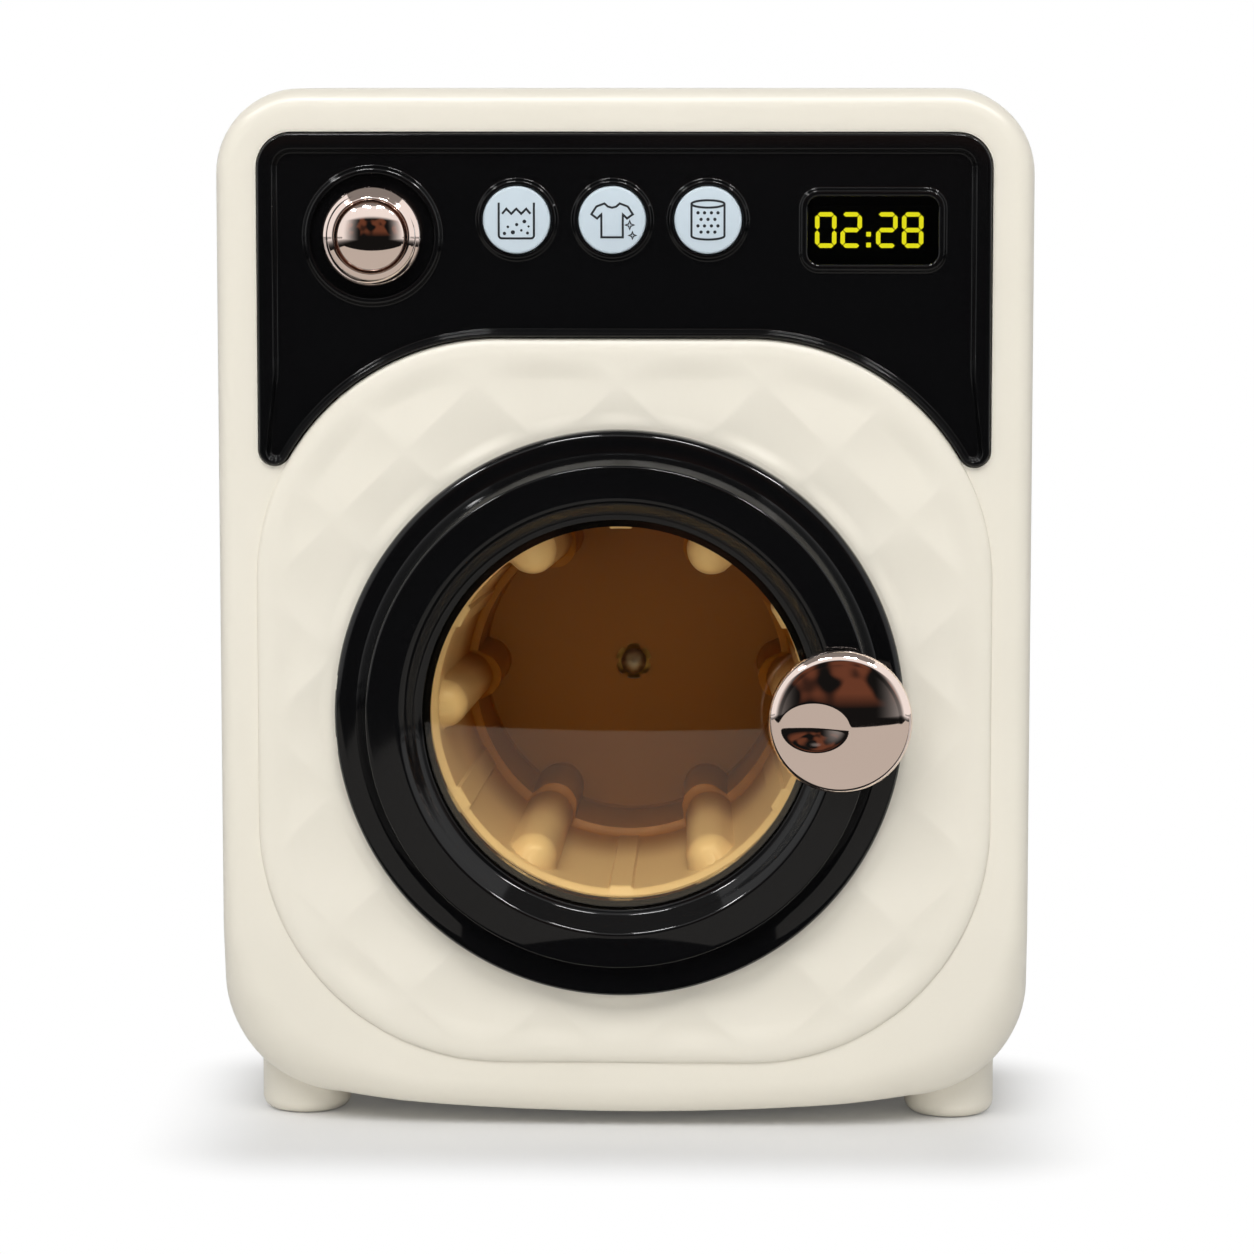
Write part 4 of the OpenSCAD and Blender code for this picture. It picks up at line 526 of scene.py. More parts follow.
def makeCasing():
    # front half of the casing: parting groove, sides, a quarter ellipse of roundIn by roundBack round the
    # front edge, and the flat frame, which is open where the panel and the fascia sit
    back = -body["split"]
    groove = ((0.9, 0), (0.4, 0), (0.4, 0.5), (0.1, 0.6), (0, 0.9))
    rows = [(bodyLoop(inset, 0), back + deep) for inset, deep in groove]
    rows += [(bodyLoop(0, t), back + (-roundBack - back) * t) for t in (0.2, 0.4, 0.6, 0.8, 0.95)]
    rows += [(bodyLoop(roundIn * (1 - np.cos(t))), -roundBack * (1 - np.sin(t))) for t in quarter(15)]
    inner = bodyLoop(roundIn + 0.3)
    rows.append((inner, 0))
    upper = upperHalf(fascia["gap"], False)
    edge = np.concatenate([(upper * [-1, 1])[::-1], upper[1:]])
    wall = np.stack([np.column_stack([edge, np.full(len(edge), h)]) for h in (0, -panel["sunk"])])
    piece("casingFront", [loft(*zip(*rows)), fill([inner, openingLoop], 0), grid(wall)],
          "casing", "cream_plastic", ["front_shell"])


quilt = {"cellX": 18.8, "cellZ": 18.13, "top": floorGap + 195.9, "deep": 1.25, "fade": 7, "rows": 64,
         "seat": 76, "seatFade": 4, "seatFront": 9, "seatBack": -4.5}
doorAt = middle("door_ring")


def quiltHeight(xz):
    # how far each point dips below the panel's face: deep * (1 - u * u) * (1 - v * v), where u and v go from
    # -1 to 1 across a diamond cell, so that each cell is a shallow dish between sharp ridges
    x, z = (xz[..., 0] - doorAt[0]) / quilt["cellX"], (xz[..., 1] - quilt["top"]) / quilt["cellZ"]
    u, v = (2 * np.mod((x + z) / 2, 1) - 1), (2 * np.mod((x - z) / 2, 1) - 1)
    return quilt["deep"] * (1 - u ** 2) * (1 - v ** 2)


def makePanel():
    # raised panel: a quarter-round edge, then a quilted field in to the circle that the door closes on
    def level(inset, height):
        # the panel's outline moved inwards, at one height
        ringAt = mirrored(panelHalf(-inset, 90, 4))
        return np.column_stack([ringAt, np.full(len(ringAt), height)])

    rows = [level(0, -panel["sunk"])]
    rows += [level(panel["bevel"] * (1 - np.cos(t)), panel["raise"] * np.sin(t)) for t in quarter(11)]
    outer = mirrored(panelHalf(-panel["bevel"], 90, 4))
    away = outer - doorAt
    inner = doorAt + away / np.linalg.norm(away, axis=1, keepdims=True) * quilt["seat"]
    width = np.linalg.norm(outer - inner, axis=1)
    for s in np.linspace(0, 1, quilt["rows"])[1:]:
        at = outer + (inner - outer) * s
        fade = smoothStep(s * width / quilt["fade"]) * smoothStep((1 - s) * width / quilt["seatFade"])
        rows.append(np.column_stack([at, panel["raise"] - quiltHeight(at) * fade]))
    piece("quiltedPanel", [grid(np.stack(rows), False, True)], "casing", "cream_plastic", sharp=60)


def carve(made, cutters, kind="DIFFERENCE"):
    # cuts closed meshes out of a piece, or keeps what lies inside them, and leaves no modifier
    for tool in cutters:
        step = made.modifiers.new("carve", "BOOLEAN")
        step.operation, step.solver, step.object = kind, "EXACT", tool
        bpy.context.view_layer.update()
        shape = bpy.data.meshes.new_from_object(made.evaluated_get(bpy.context.evaluated_depsgraph_get()))
        made.modifiers.clear()
        old, made.data = made.data, shape
        shape.name = old.name
        bpy.data.meshes.remove(old)
        bpy.data.objects.remove(tool)
    made.data.shade_smooth()
    made.data.set_sharp_from_angle(angle=np.radians(35))


def cutter(patches):
    # closed mesh for carve()
    made = piece("cutter", patches, "casing", "cream_plastic")
    made.parent = None
    return made


def makeSeat():
    # flat seat behind the door, with its slots for the hinge and the latch: what a disc cuts out of the CAD
    # front, whose own normals are dropped first because they shade wrongly after the cut
    mesh = nodes["front_shell"].data.copy()
    weld(mesh, weldReach / 2)
    stored = mesh.attributes.get("custom_normal")
    if stored:
        mesh.attributes.remove(stored)
    made = addObject("doorSeat", mesh)
    r, front, back = quilt["seat"], quilt["seatFront"], quilt["seatBack"]
    disc = lathe([(0, front), (r, front), (r, back), (0, back)], doorAt, 200)
    carve(made, [cutter([disc])], "INTERSECT")
    made.data.materials.clear()
    made.data.materials.append(finishes["cream_plastic"])
    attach(made, "casing")


makeCasing()
makePanel()
makeSeat()
print("casing ready")

knobAt = middle("knob")
buttons = {name: middle("button_" + name) for name in ("wash", "clothes", "drum")}
displayAt = middle("display_lens")
controls = {"shaftHole": 3.4, "well": 16.3, "wellDeep": 1.2, "wellBead": 1.9, "wellHigh": 1.5,
            "collar": 9.1, "collarBead": 1.5, "collarHigh": 1.1,
            "windowW": 34, "windowH": 17.6, "windowR": 3, "bezel": 1.9, "bezelHigh": 1.1}


def makeFascia():
    # black panel behind the controls: raised bead, which slopes down in a soft curve to the flat field, and
    # a ring round each control
    field = fieldOutline()
    across = field - fasciaLoop
    width = np.linalg.norm(across, axis=1, keepdims=True)
    step = across / width
    r, high = fascia["beadRound"], fascia["bead"]
    slope = np.minimum(fascia["beadSlope"], width * 0.55)
    rows = [(fasciaLoop, -fascia["back"]), (fasciaLoop, high - r)]
    rows += [(fasciaLoop + step * r * (1 - np.cos(t)), high - r + r * np.sin(t)) for t in quarter(6)[1:]]
    rows += [(field - step * (slope + 0.15), high)]
    rows += [(field - step * slope * (1 - t), high * (1 - smoothStep(t))) for t in np.linspace(0, 1, 9)]
    inner = field + step * 0.25
    rows += [(inner, 0)]
    c = controls
    r, deep, high, wide = c["well"], c["wellDeep"], c["wellHigh"], c["well"] + c["wellBead"]
    well = [(c["shaftHole"], -fascia["back"]), (c["shaftHole"], -deep), (r - 0.5, -deep), (r, -deep + 0.5),
            (r, high - 0.4), (r + 0.15, high - 0.1), (r + 0.4, high), (r + 0.9, high),
            (r + 1.3, high - 0.15), (r + 1.6, high - 0.5), (wide, 0.25), (wide + 0.3, 0), (wide + 0.6, 0)]
    r, high, wide = c["collar"], c["collarHigh"], c["collar"] + c["collarBead"]
    collar = [(r, -fascia["back"]), (r, high - 0.3), (r + 0.1, high - 0.08), (r + 0.3, high),
              (r + 0.8, high), (r + 1.1, high - 0.2), (wide, 0.2), (wide + 0.3, 0), (wide + 0.6, 0)]
    wide, high = c["bezel"], c["bezelHigh"]
    bezel = [(wide + 0.8, 0), (wide + 0.5, 0), (wide + 0.2, 0.15), (wide, 0.45), (wide - 0.15, high - 0.25),
             (wide - 0.5, high), (0.6, high), (0.25, high - 0.12), (0.05, high - 0.4), (0, high - 0.9),
             (0, -fascia["back"])]
    windowRows = [(rounded(c["windowW"], c["windowH"], c["windowR"], displayAt, grow), height)
                  for grow, height in bezel]
    wells = [(well, knobAt)] + [(collar, at) for at in buttons.values()]
    holes = [at + circle(96) * profile[-1][0] for profile, at in wells] + [windowRows[0][0]]
    patches = [loft(*zip(*rows)), fill([inner] + holes, 0), loft(*zip(*windowRows))]
    patches += [lathe(profile, at) for profile, at in wells]
    piece("controlPanel", patches, "casing", "black_plastic", ["control_fascia"], sharp=40)


knob = {"dome": 9.0, "top": 8.5, "domeHigh": 2.6, "outer": 13.1, "foot": -0.8, "bore": 3.1, "boreTop": 4.0}


def sphereCap(r, top, ball):
    # height of a sphere's cap at each radius: top - ball + the root of ball squared less r squared
    return top - ball + np.sqrt(ball ** 2 - np.asarray(r) ** 2)


def makeKnob():
    # plated knob: dished flange with a groove inside it, round a shallow dome
    k = knob
    dome, outer = k["dome"], k["outer"]
    ball = (dome ** 2 + k["domeHigh"] ** 2) / (2 * k["domeHigh"])
    profile = [(x, sphereCap(x, k["top"], ball)) for x in np.linspace(0, dome - 0.25, 22)]
    profile += [(dome - 0.05, 5.6), (dome + 0.05, 5.2), (dome + 0.25, 5.1), (dome + 0.4, 5.3)]
    profile += [(dome + 0.55, 5.9), (dome + 0.8, 6.15), (dome + 1.1, 6.1)]
    profile += [(10.35, 5.95), (11.1, 5.4), (11.3, 5.3), (11.45, 5.05), (12.4, 4.25), (12.75, 3.9)]
    profile += [(13.0, 3.5), (outer, 3.1), (outer, 2.4), (12.9, 1.2), (12.6, -0.6), (12.3, k["foot"])]
    profile += [(k["bore"], k["foot"]), (k["bore"], k["boreTop"]), (0, k["boreTop"])]
    piece("turnKnob", [lathe(profile, knobAt, 128)], "knob", "rose_chrome", ["knob"], sharp=50)


button = {"r": 8.8, "proud": 3.2, "ball": 60, "edge": 0.7, "foot": -1.9}


def buttonTop(r):
    # height of a button's dome
    return sphereCap(r, button["proud"], button["ball"])


def makeButton(name, at):
    # button: shallow dome, then a quarter round down to the straight side
    r, e = button["r"], button["edge"]
    profile = [(x, float(buttonTop(x))) for x in np.linspace(0, r - e, 14)]
    top = profile[-1][1]
    profile += [(r - e + e * np.sin(t), top - e * (1 - np.cos(t))) for t in quarter(7)[1:]]
    profile += [(r, button["foot"] + 0.3), (r, button["foot"]), (0, button["foot"])]
    piece("button" + name.title(), [lathe(profile, at)], "button_" + name, "ice_plastic",
          ["button_" + name], sharp=50)


def ribbon(points, at, wide=0.56, closed=False, thick=0.05):
    # flat printed line along a path, laid on a button's dome
    points = np.array(points, float)
    ahead = np.roll(points, -1, 0) - points
    behind = points - np.roll(points, 1, 0)
    if not closed:
        ahead[-1], behind[0] = behind[-1], ahead[0]
    ahead /= np.linalg.norm(ahead, axis=1, keepdims=True)
    behind /= np.linalg.norm(behind, axis=1, keepdims=True)
    way = ahead + behind
    way /= np.linalg.norm(way, axis=1, keepdims=True)
    miter = wide / 2 / np.maximum((way * ahead).sum(1, keepdims=True), 0.5)
    side = np.stack([-way[:, 1], way[:, 0]], 1) * miter
    edges = []
    for shift, sink in ((side, -thick), (side, thick), (-side, thick), (-side, -thick)):
        xz = points + shift
        edges.append(np.column_stack([xz + at, buttonTop(np.linalg.norm(xz, axis=1)) + sink]))
    return grid(np.stack(edges), True, closed, flip=True)


def dot(centre, radius, at, thick=0.05):
    # printed spot on a button's dome
    top = float(buttonTop(np.hypot(*centre)))
    return lathe([(0, top + thick), (radius * 0.7, top + thick), (radius, top + thick * 0.4),
                  (radius, top - thick)], np.array(centre) + at, 16)


def spread(points, gap=0.5):
    # adds points along a path so that it follows the dome
    points = np.array(points, float)
    steps = [max(2, int(np.linalg.norm(b - a) / gap) + 1) for a, b in zip(points, points[1:])]
    return joined(*[line(a, b, count) for a, b, count in zip(points, points[1:], steps)])


fourHoles, threeHoles = (-2.6, -0.9, 0.9, 2.6), (-1.8, 0, 1.8)
marks = {
    "tub": joined(line((-4.6, 4.5), (-4.6, -4.0), 16), arc((-3.8, -4.0), 0.8, 180, 270, 6),
                  line((-3.8, -4.8), (3.8, -4.8), 14), arc((3.8, -4.0), 0.8, 270, 360, 6),
                  line((4.6, -4.0), (4.6, 4.5), 16)),
    "water": [(-3.7, 1.6), (-2.6, 2.9), (-1.3, 1.6), (0, 2.9), (1.3, 1.6), (2.6, 2.9), (3.7, 1.6)],
    "bubbles": [(-3.1, -3.5, 0.45), (-2.2, -1.8, 0.36), (-0.9, -3.2, 0.55), (0.1, -1.2, 0.42),
                (1.3, -2.7, 0.34), (2.1, -0.4, 0.5), (2.9, -3.4, 0.4), (3.2, -1.7, 0.3)],
    "shirt": [(-2.0, 4.3), (-1.1, 3.5), (0, 3.2), (1.1, 3.5), (2.0, 4.3), (4.1, 3.5), (5.4, 1.5), (3.9, 0.4),
              (2.8, 1.5), (2.8, -4.5), (-2.8, -4.5), (-2.8, 1.5), (-3.9, 0.4), (-5.4, 1.5), (-4.1, 3.5),
              (-2.0, 4.3)],
    "sparkles": [(4.6, -1.3, 1.15), (5.3, -4.0, 0.95)], "thinLine": 0.34,
    "barrelHalf": 4.3, "barrelTop": 4.2, "barrelLow": -4.1, "barrelRound": 0.95,
    "holes": [(x, z, 0.44) for z, xs in ((1.9, fourHoles), (0.2, threeHoles), (-1.5, fourHoles),
                                         (-3.1, threeHoles)) for x in xs]}


def makeMarks():
    # generic laundry signs: a tub of suds, a shirt and a drum
    at = buttons["wash"]
    suds = [dot((x, z), r, at) for x, z, r in marks["bubbles"]]
    signs = {"wash": [ribbon(marks["tub"], at), ribbon(spread(marks["water"]), at)] + suds}
    at = buttons["clothes"]
    stars = []
    for x, z, r in marks["sparkles"]:
        a = np.radians(np.arange(8) * 45)
        reach = np.where(np.arange(8) % 2, r * 0.35, r)
        star = np.stack([x + reach * np.cos(a), z + reach * np.sin(a)], 1)
        stars.append(ribbon(star, at, marks["thinLine"], True))
    signs["clothes"] = [ribbon(spread(marks["shirt"])[:-1], at, closed=True)] + stars
    at = buttons["drum"]
    half, top, low = marks["barrelHalf"], marks["barrelTop"], marks["barrelLow"]
    oval = np.array([half, marks["barrelRound"]])
    lid = circle(40) * oval + [0, top]
    barrel = joined(line((-half, top), (-half, low), 18), arc((0, 0), 1, 180, 360, 22) * oval + [0, low],
                    line((half, low), (half, top), 18))
    holes = [dot((x, z), r, at) for x, z, r in marks["holes"]]
    signs["drum"] = [ribbon(lid, at, closed=True), ribbon(barrel, at)] + holes
    for name, patches in signs.items():
        piece("sign" + name.title(), patches, "button_" + name, "ice_plastic", sharp=60, stuff=inkMark)


clock = {"digitW": 5.6, "digitH": 9.3, "bar": 1.15, "gap": 0.14, "front": -3.3, "back": -3.6,
         "places": (-12.3, -5.65, 3.65, 10.4), "digits": "0228",
         "dots": ((-1.1, -1.1), (-1.1, -3.9)), "dot": 1.2, "dotRound": 0.15,
         "bars": {"0": "abcdef", "2": "abged", "8": "abcdefg"}}


def prism(outline, back, front):
    # flat plate of an outline that runs clockwise
    return [loft([outline, outline], [back, front]), fill([outline], front)]


def makeClock():
    # lit bars of a generic clock display
    c = clock
    w, h, t = (c["digitW"] - c["bar"]) / 2, (c["digitH"] - c["bar"]) / 2, c["bar"] / 2
    spots = {"a": (0, h, 0), "g": (0, 0, 0), "d": (0, -h, 0), "f": (-w, h / 2, 1), "b": (w, h / 2, 1),
             "e": (-w, -h / 2, 1), "c": (w, -h / 2, 1)}
    patches = []
    for place, digit in zip(c["places"], c["digits"]):
        for bar in c["bars"][digit]:
            x, z, upright = spots[bar]
            reach = (h / 2 if upright else w) - c["gap"]
            ends = np.array([(-reach, 0), (t - reach, t), (reach - t, t), (reach, 0), (reach - t, -t),
                             (t - reach, -t)])
            shape = ends[::-1, ::-1] if upright else ends
            patches += prism(shape + [x, z] + displayAt + [place, 0], c["back"], c["front"])
    for at in c["dots"]:
        square = rounded(c["dot"], c["dot"], c["dotRound"], displayAt + at, count=3)
        patches += prism(square, c["back"], c["front"])
    piece("clockBars", patches, "casing", "lit_segments", ["display_digits"])


makeFascia()
makeKnob()
for name, at in buttons.items():
    makeButton(name, at)
makeMarks()
makeClock()
print("controls ready")

ringShape = {"outer": 75, "flange": 8.6, "flangeRound": 2.2, "back": 2.1, "cut": 1.4, "step": 68.6,
             "face": 66.4, "faceHigh": 13.8, "faceRound": 0.9, "slope": 57.4, "bore": 51.6, "lip": 9.0,
             "lipBack": 7.0, "skin": 1.4, "hinge": 69.5, "pin": 4.8, "pinR": 1.05, "ear": 2, "knuckle": 6.5,
             "earThick": 3, "notch": 7.5, "webX": 3.8, "webW": 5.2, "webBack": 4.2, "webFront": 7.4}


def makeRing():
    # black door ring: rounded flange, step, flat face and the slope down to the window, then back along the
    # inside; the notches in its back clear the ears of the hinge
    d = ringShape
    bore, lip, slope, face, high = d["bore"], d["lip"], d["slope"], d["face"], d["faceHigh"]
    outer, flange, step, skin = d["outer"], d["flange"], d["step"], d["skin"]
    bend, curl = d["flangeRound"], d["faceRound"]
    front = [(bore, d["lipBack"]), (bore, lip - 0.7), (bore + 0.15, lip - 0.25), (bore + 0.55, lip),
             (bore + 1.1, lip + 0.12)]
    start, rise = front[-1]
    front += [(start + (slope - start) * t, rise + (high - rise) * (0.72 * t + 0.28 * smoothStep(t)))
              for t in np.linspace(0, 1, 12)[1:]]
    front += [(slope + 0.5, high + 0.1), (slope + 1.2, high), (face - 1.2, high), (face - curl, high)]
    front += [(face + curl * (np.sin(a) - 1), high + curl * (np.cos(a) - 1))
              for a in np.linspace(0, np.radians(72), 6)[1:]]
    front += [(step - 0.2, flange + 1.1), (step + 0.15, flange + 0.6), (step + 0.6, flange + 0.1),
              (step + 1.1, flange), (outer - bend - 0.3, flange)]
    front += [(outer - bend * (1 - np.sin(a)), flange - bend * (1 - np.cos(a))) for a in quarter(10)]
    front += [(outer, d["back"] + d["cut"]), (outer - d["cut"], d["back"])]
    behind = [(outer - d["cut"] - 0.3, d["back"]), (outer - skin - 0.4, flange - bend),
              (outer - skin - 2, flange - skin), (step - 1.6, flange - skin + 0.2),
              (face - 2.2, high - skin), (slope + 0.4, high - skin), (bore + skin, lip - skin + 0.3),
              (bore + skin, d["lipBack"] - 0.2), (bore, d["lipBack"] - 0.2)]
    made = piece("doorRing", [lathe(front + behind, doorAt, 256)], "door", "black_plastic",
                 ["door_ring"], sharp=45)
    notches = []
    for side in (-1, 1):
        z = side * (d["knuckle"] + 0.2 + d["earThick"] / 2)
        outline = rounded(2 * (outer - d["hinge"]) + 4, d["earThick"] + 0.9, 0.05,
                          doorAt + [-outer, z], count=2)
        notches.append(cutter(prism(outline, 0, d["notch"]) + [fill([outline], 0, -1)]))
    carve(made, notches)


def makeKnuckle():
    # barrel of the door's hinge round its pin, and the web that joins it to the ring
    d = ringShape
    hub = []
    for r, end in ((d["pinR"], -1), (d["ear"], -1), (d["ear"], 1), (d["pinR"], 1), (d["pinR"], -1)):
        across = circle(40) * r
        hub.append(np.column_stack([doorAt[0] - d["hinge"] + across[:, 0],
                                    np.full(40, doorAt[1] + end * d["knuckle"]), d["pin"] + across[:, 1]]))
    web = rounded(d["webW"], 2 * d["knuckle"] - 0.6, 0.05, doorAt + [d["webX"] - d["hinge"], 0], count=2)
    piece("doorKnuckle", [grid(np.stack(hub), False, True, flip=True),
                          loft([web, web], [d["webBack"], d["webFront"]]), fill([web], d["webBack"], -1)],
          "door", "black_plastic", sharp=30)


windowShape = {"r": 51.0, "high": 4.0, "thick": 1.8, "edge": 50.6, "rim": 52.4}


def makeWindow():
    # clear window: the cap of a sphere, evenly thick, with a flat rim behind the ring's lip
    w = windowShape
    r, high, thick, rim, base = w["r"], w["high"], w["thick"], w["rim"], ringShape["lip"] - ringShape["skin"]
    ball = (r ** 2 + high ** 2) / (2 * high)
    dome = [(x, sphereCap(x, base + high, ball)) for x in np.linspace(0, w["edge"], 26)]
    flat = [(r + 0.4, base - 0.1), (rim, base - 0.2), (rim, base - thick), (r, base - thick)]
    inner = [(x, z - thick) for x, z in dome[::-1][1:]]
    piece("domedWindow", [lathe(dome + flat + inner, doorAt, 160)], "door", "clear_window",
          ["door_window"], sharp=45)


handle = {"x": 57, "r": 18.8, "back": 16.8, "front": 23.8, "crown": 2.7, "round": 3.2,
          "foot": 8, "footBack": ringShape["faceHigh"] - 0.5, "bore": 1.4,
          "dimple": 2.3, "dimpleX": -6.6, "dimpleZ": -1.2, "dimpleW": 9.2, "dimpleH": 6.6}


def makeHandle():
    # plated thumb knob: face that falls with the square of the radius and by an oval dimple, then a round
    # rim and a short foot
    h = handle
    centre = [h["x"], doorAt[1]]
    flat = h["r"] - h["round"]
    crown = [(r, h["front"] - h["crown"] * (r / flat) ** 2) for r in np.linspace(0, flat, 40)]
    rows = turned(crown, centre, 144)
    x, z = rows[..., 0] - centre[0] - h["dimpleX"], rows[..., 1] - centre[1] - h["dimpleZ"]
    oval = np.clip((x / h["dimpleW"]) ** 2 + (z / h["dimpleH"]) ** 2, 0, 1)
    rows[..., 2] -= h["dimple"] * (1 - oval) ** 1.5
    rim, back = h["front"] - h["crown"], h["back"]
    lean = np.arctan(2 * h["crown"] / flat)
    edge = [(flat + h["round"] * (np.sin(t) - np.sin(lean)) / (1 - np.sin(lean)),
             rim - h["round"] * (np.cos(lean) - np.cos(t))) for t in np.linspace(lean, np.pi / 2, 12)[1:]]
    edge += [(h["r"], max(edge[-1][1] - 0.4, back + 0.9)), (h["r"] - 0.25, back + 0.3), (h["r"] - 0.9, back),
             (h["foot"] + 0.8, back), (h["foot"], back - 0.6), (h["foot"], h["footBack"]),
             (h["bore"], h["footBack"])]
    rows = np.concatenate([rows, turned(edge, centre, 144)])
    piece("doorHandle", [grid(rows, False, True)], "door", "rose_chrome", ["door_handle"], sharp=60)


# the radii and depths of the wall, then the lifters and the strips between them, then the rows of the grid:
# start, end and count of each stretch of depths, and the share of the radius of each ring on the floor
drumShape = {"mouth": 50.8, "lipDeep": 6, "front": 48.6, "ledge": 45.2, "ledgeDeep": 74.2, "end": 42.6,
             "deep": 110, "lifters": 6, "lifterR": 7, "lifterFrom": 9,
             "strip": 6.6, "stripHigh": 0.9, "stripFrom": 6, "stripTo": 73, "steps": 540,
             "rows": ((6, 20, 22), (20.8, 72.5, 60), (73, 76, 8), (77, 108.5, 36)),
             "floorRings": (0.985, 0.9, 0.5, 0.3, 0.12)}


def makeDrum():
    # open drum on one grid, depth along the wall by angle; a lifter rises inwards by the root of lifterR
    # squared less the squares of the ways off its middle line, and a flat strip lies between each two
    d = drumShape
    angle = np.linspace(0, 2 * np.pi, d["steps"], endpoint=False)
    depth = np.concatenate([np.linspace(*run) for run in d["rows"]])
    at = np.interp(depth, [d["lipDeep"], d["lipDeep"] + 1, d["ledgeDeep"] - 1, d["ledgeDeep"],
                           d["ledgeDeep"] + 0.8, d["deep"]],
                   [d["front"] + 1.4, d["front"], d["ledge"] + 0.3, d["ledge"], d["ledge"] - 2.2, d["end"]])
    dd, aa = np.meshgrid(depth, angle, indexing="ij")
    base = np.broadcast_to(at[:, None], dd.shape)
    share = np.pi / d["lifters"]
    turn = np.mod(aa + share, 2 * share) - share
    along = np.abs(turn) * base
    dome = np.clip(d["lifterFrom"] + d["lifterR"] - dd, 0, None)
    bulge = d["lifterR"] ** 2 - along ** 2 - dome ** 2
    lifter = np.sqrt(np.clip(bulge, 0, None)) * smoothStep(bulge / 10)
    turn = np.mod(aa, 2 * share) - share
    edge = np.clip((d["strip"] / 2 - np.abs(turn) * base) / 0.5, 0, 1)
    ends = np.clip((dd - d["stripFrom"]) / 0.6, 0, 1) * np.clip((d["stripTo"] - dd) / 0.6, 0, 1)
    r = base - np.maximum(lifter, d["stripHigh"] * edge * ends)
    wall = np.stack([doorAt[0] + r * np.cos(aa), doorAt[1] + r * np.sin(aa), -dd], -1)
    r, start = d["mouth"], -d["lipDeep"]
    lip = [(r - 0.6, 4 - d["deep"]), (r - 0.2, start - 0.6), (r, start - 0.4), (r, start - 0.1),
           (r - 0.4, start + 0.2), (d["front"] + 1.6, start + 0.2)]
    centre = np.append(doorAt, -d["deep"])
    floor = [centre + (wall[-1] - centre) * [inside, inside, 0] for inside in d["floorRings"]]
    rows = np.concatenate([turned(lip, doorAt, d["steps"]), wall, np.stack(floor)])
    piece("washDrum", [grid(rows, False, True)], "drum", "cream_plastic", ["drum"], sharp=42,
          stuff=drumPlastic)


makeRing()
makeKnuckle()
makeWindow()
makeHandle()
makeDrum()
print("door and drum ready")

stage = {"size": 6.0, "tone": 0.86, "roughness": 0.7, "shine": 0.15, "at": (0, -0.05), "drop": 0.0001,
         "foot": (0.087, 0.044, 0.05), "fade": 0.045, "lift": 0.04}


def flatCard(start, end, wide, level):
    # corners of a level card from start to end in depth
    return [(-wide, start, level), (wide, start, level), (wide, end, level), (-wide, end, level)]


def makeStage():
    # pale floor that keeps the object's shadow; away from the box round its foot it fades into the white
    # background
    floorMat = newMaterial("paleFloor")
    tree = floorMat.node_tree
    shader = feed(tree, tree.nodes["Principled BSDF"], {
        "Base Color": (stage["tone"], stage["tone"], stage["tone"], 1), "Roughness": stage["roughness"],
        "Specular IOR Level": stage["shine"]})
    outside = objectPlace(tree)
    for kind, value in (("ABSOLUTE", (0, 0, 0)), ("SUBTRACT", stage["foot"]), ("MAXIMUM", (0, 0, 0)),
                        ("LENGTH", (0, 0, 0))):
        step = tree.nodes.new("ShaderNodeVectorMath")
        step.operation = kind
        feed(tree, step, {0: outside, 1: value})
        outside = step.outputs["Value" if kind == "LENGTH" else "Vector"]
    path = tree.nodes.new("ShaderNodeLightPath").outputs
    share = combine(tree, "MULTIPLY", fadeOver(tree, outside, 0, stage["fade"], stage["lift"], 1),
                    combine(tree, "MAXIMUM", path["Is Camera Ray"], path["Is Transmission Ray"]))
    white = tree.nodes.new("ShaderNodeEmission")
    showBoth(tree, share, shader.outputs["BSDF"], white.outputs["Emission"])
    mesh = bpy.data.meshes.new("floor")
    mesh.from_pydata(flatCard(-stage["size"], stage["size"], stage["size"], 0), [], [(0, 1, 2, 3)])
    mesh.materials.append(floorMat)
    floor = addObject("floor", mesh)
    floor.location = (*stage["at"], cadBox[0].z - stage["drop"])


sky = {"front": 0.13, "side": 0.36, "start": -0.9, "end": -0.35}


def makeWorld():
    # white to the camera and in mirrors; as light it is soft from above and the sides, and weak from the
    # front
    world = bpy.data.worlds.new("studio")
    bpy.context.scene.world = world
    world.use_nodes = True
    tree = world.node_tree
    path = tree.nodes.new("ShaderNodeLightPath").outputs
    seen = combine(tree, "MAXIMUM", path["Is Camera Ray"], path["Is Transmission Ray"])
    seen = combine(tree, "MAXIMUM", seen, path["Is Glossy Ray"])
    way = separate(tree, tree.nodes.new("ShaderNodeTexCoord").outputs["Generated"])["Y"]
    soft = fadeOver(tree, way, sky["start"], sky["end"], sky["front"], sky["side"])
    feed(tree, tree.nodes["Background"], {
        "Color": (1, 1, 1, 1), "Strength": combine(tree, "MAXIMUM", seen, soft)})


def glowing(name, colour):
    # material that shows one colour whatever the light
    made = newMaterial(name)
    tree = made.node_tree
    tree.nodes.remove(tree.nodes["Principled BSDF"])
    shine = feed(tree, tree.nodes.new("ShaderNodeEmission"), {"Color": colour + (1,)})
    showShader(tree, shine.outputs["Emission"])
    return made, tree, shine


# places and sizes in metres; the table and the ceiling each give their start, end, half width and level
cards = {"wide": 2.6, "start": 0.075, "far": 1.75, "high": 1.5, "level": 0.002,
         "low": (0.008, 0.008, 0.008), "top": (0.15, 0.055, 0.03), "topFrom": 0.2, "topTo": 0.5,
         "cloudScale": 1.6, "cloudFrom": 0.42, "cloudTo": 0.58, "fadeWide": 0.3, "fadeHigh": 0.8,
         "table": (-0.1, -0.45, 0.6, 0.05), "tableTone": (0.58, 0.55, 0.51),
         "ceiling": (-1.6, 1.2, 1.6, 2.4), "ceilingTone": (0.25, 0.24, 0.23)}


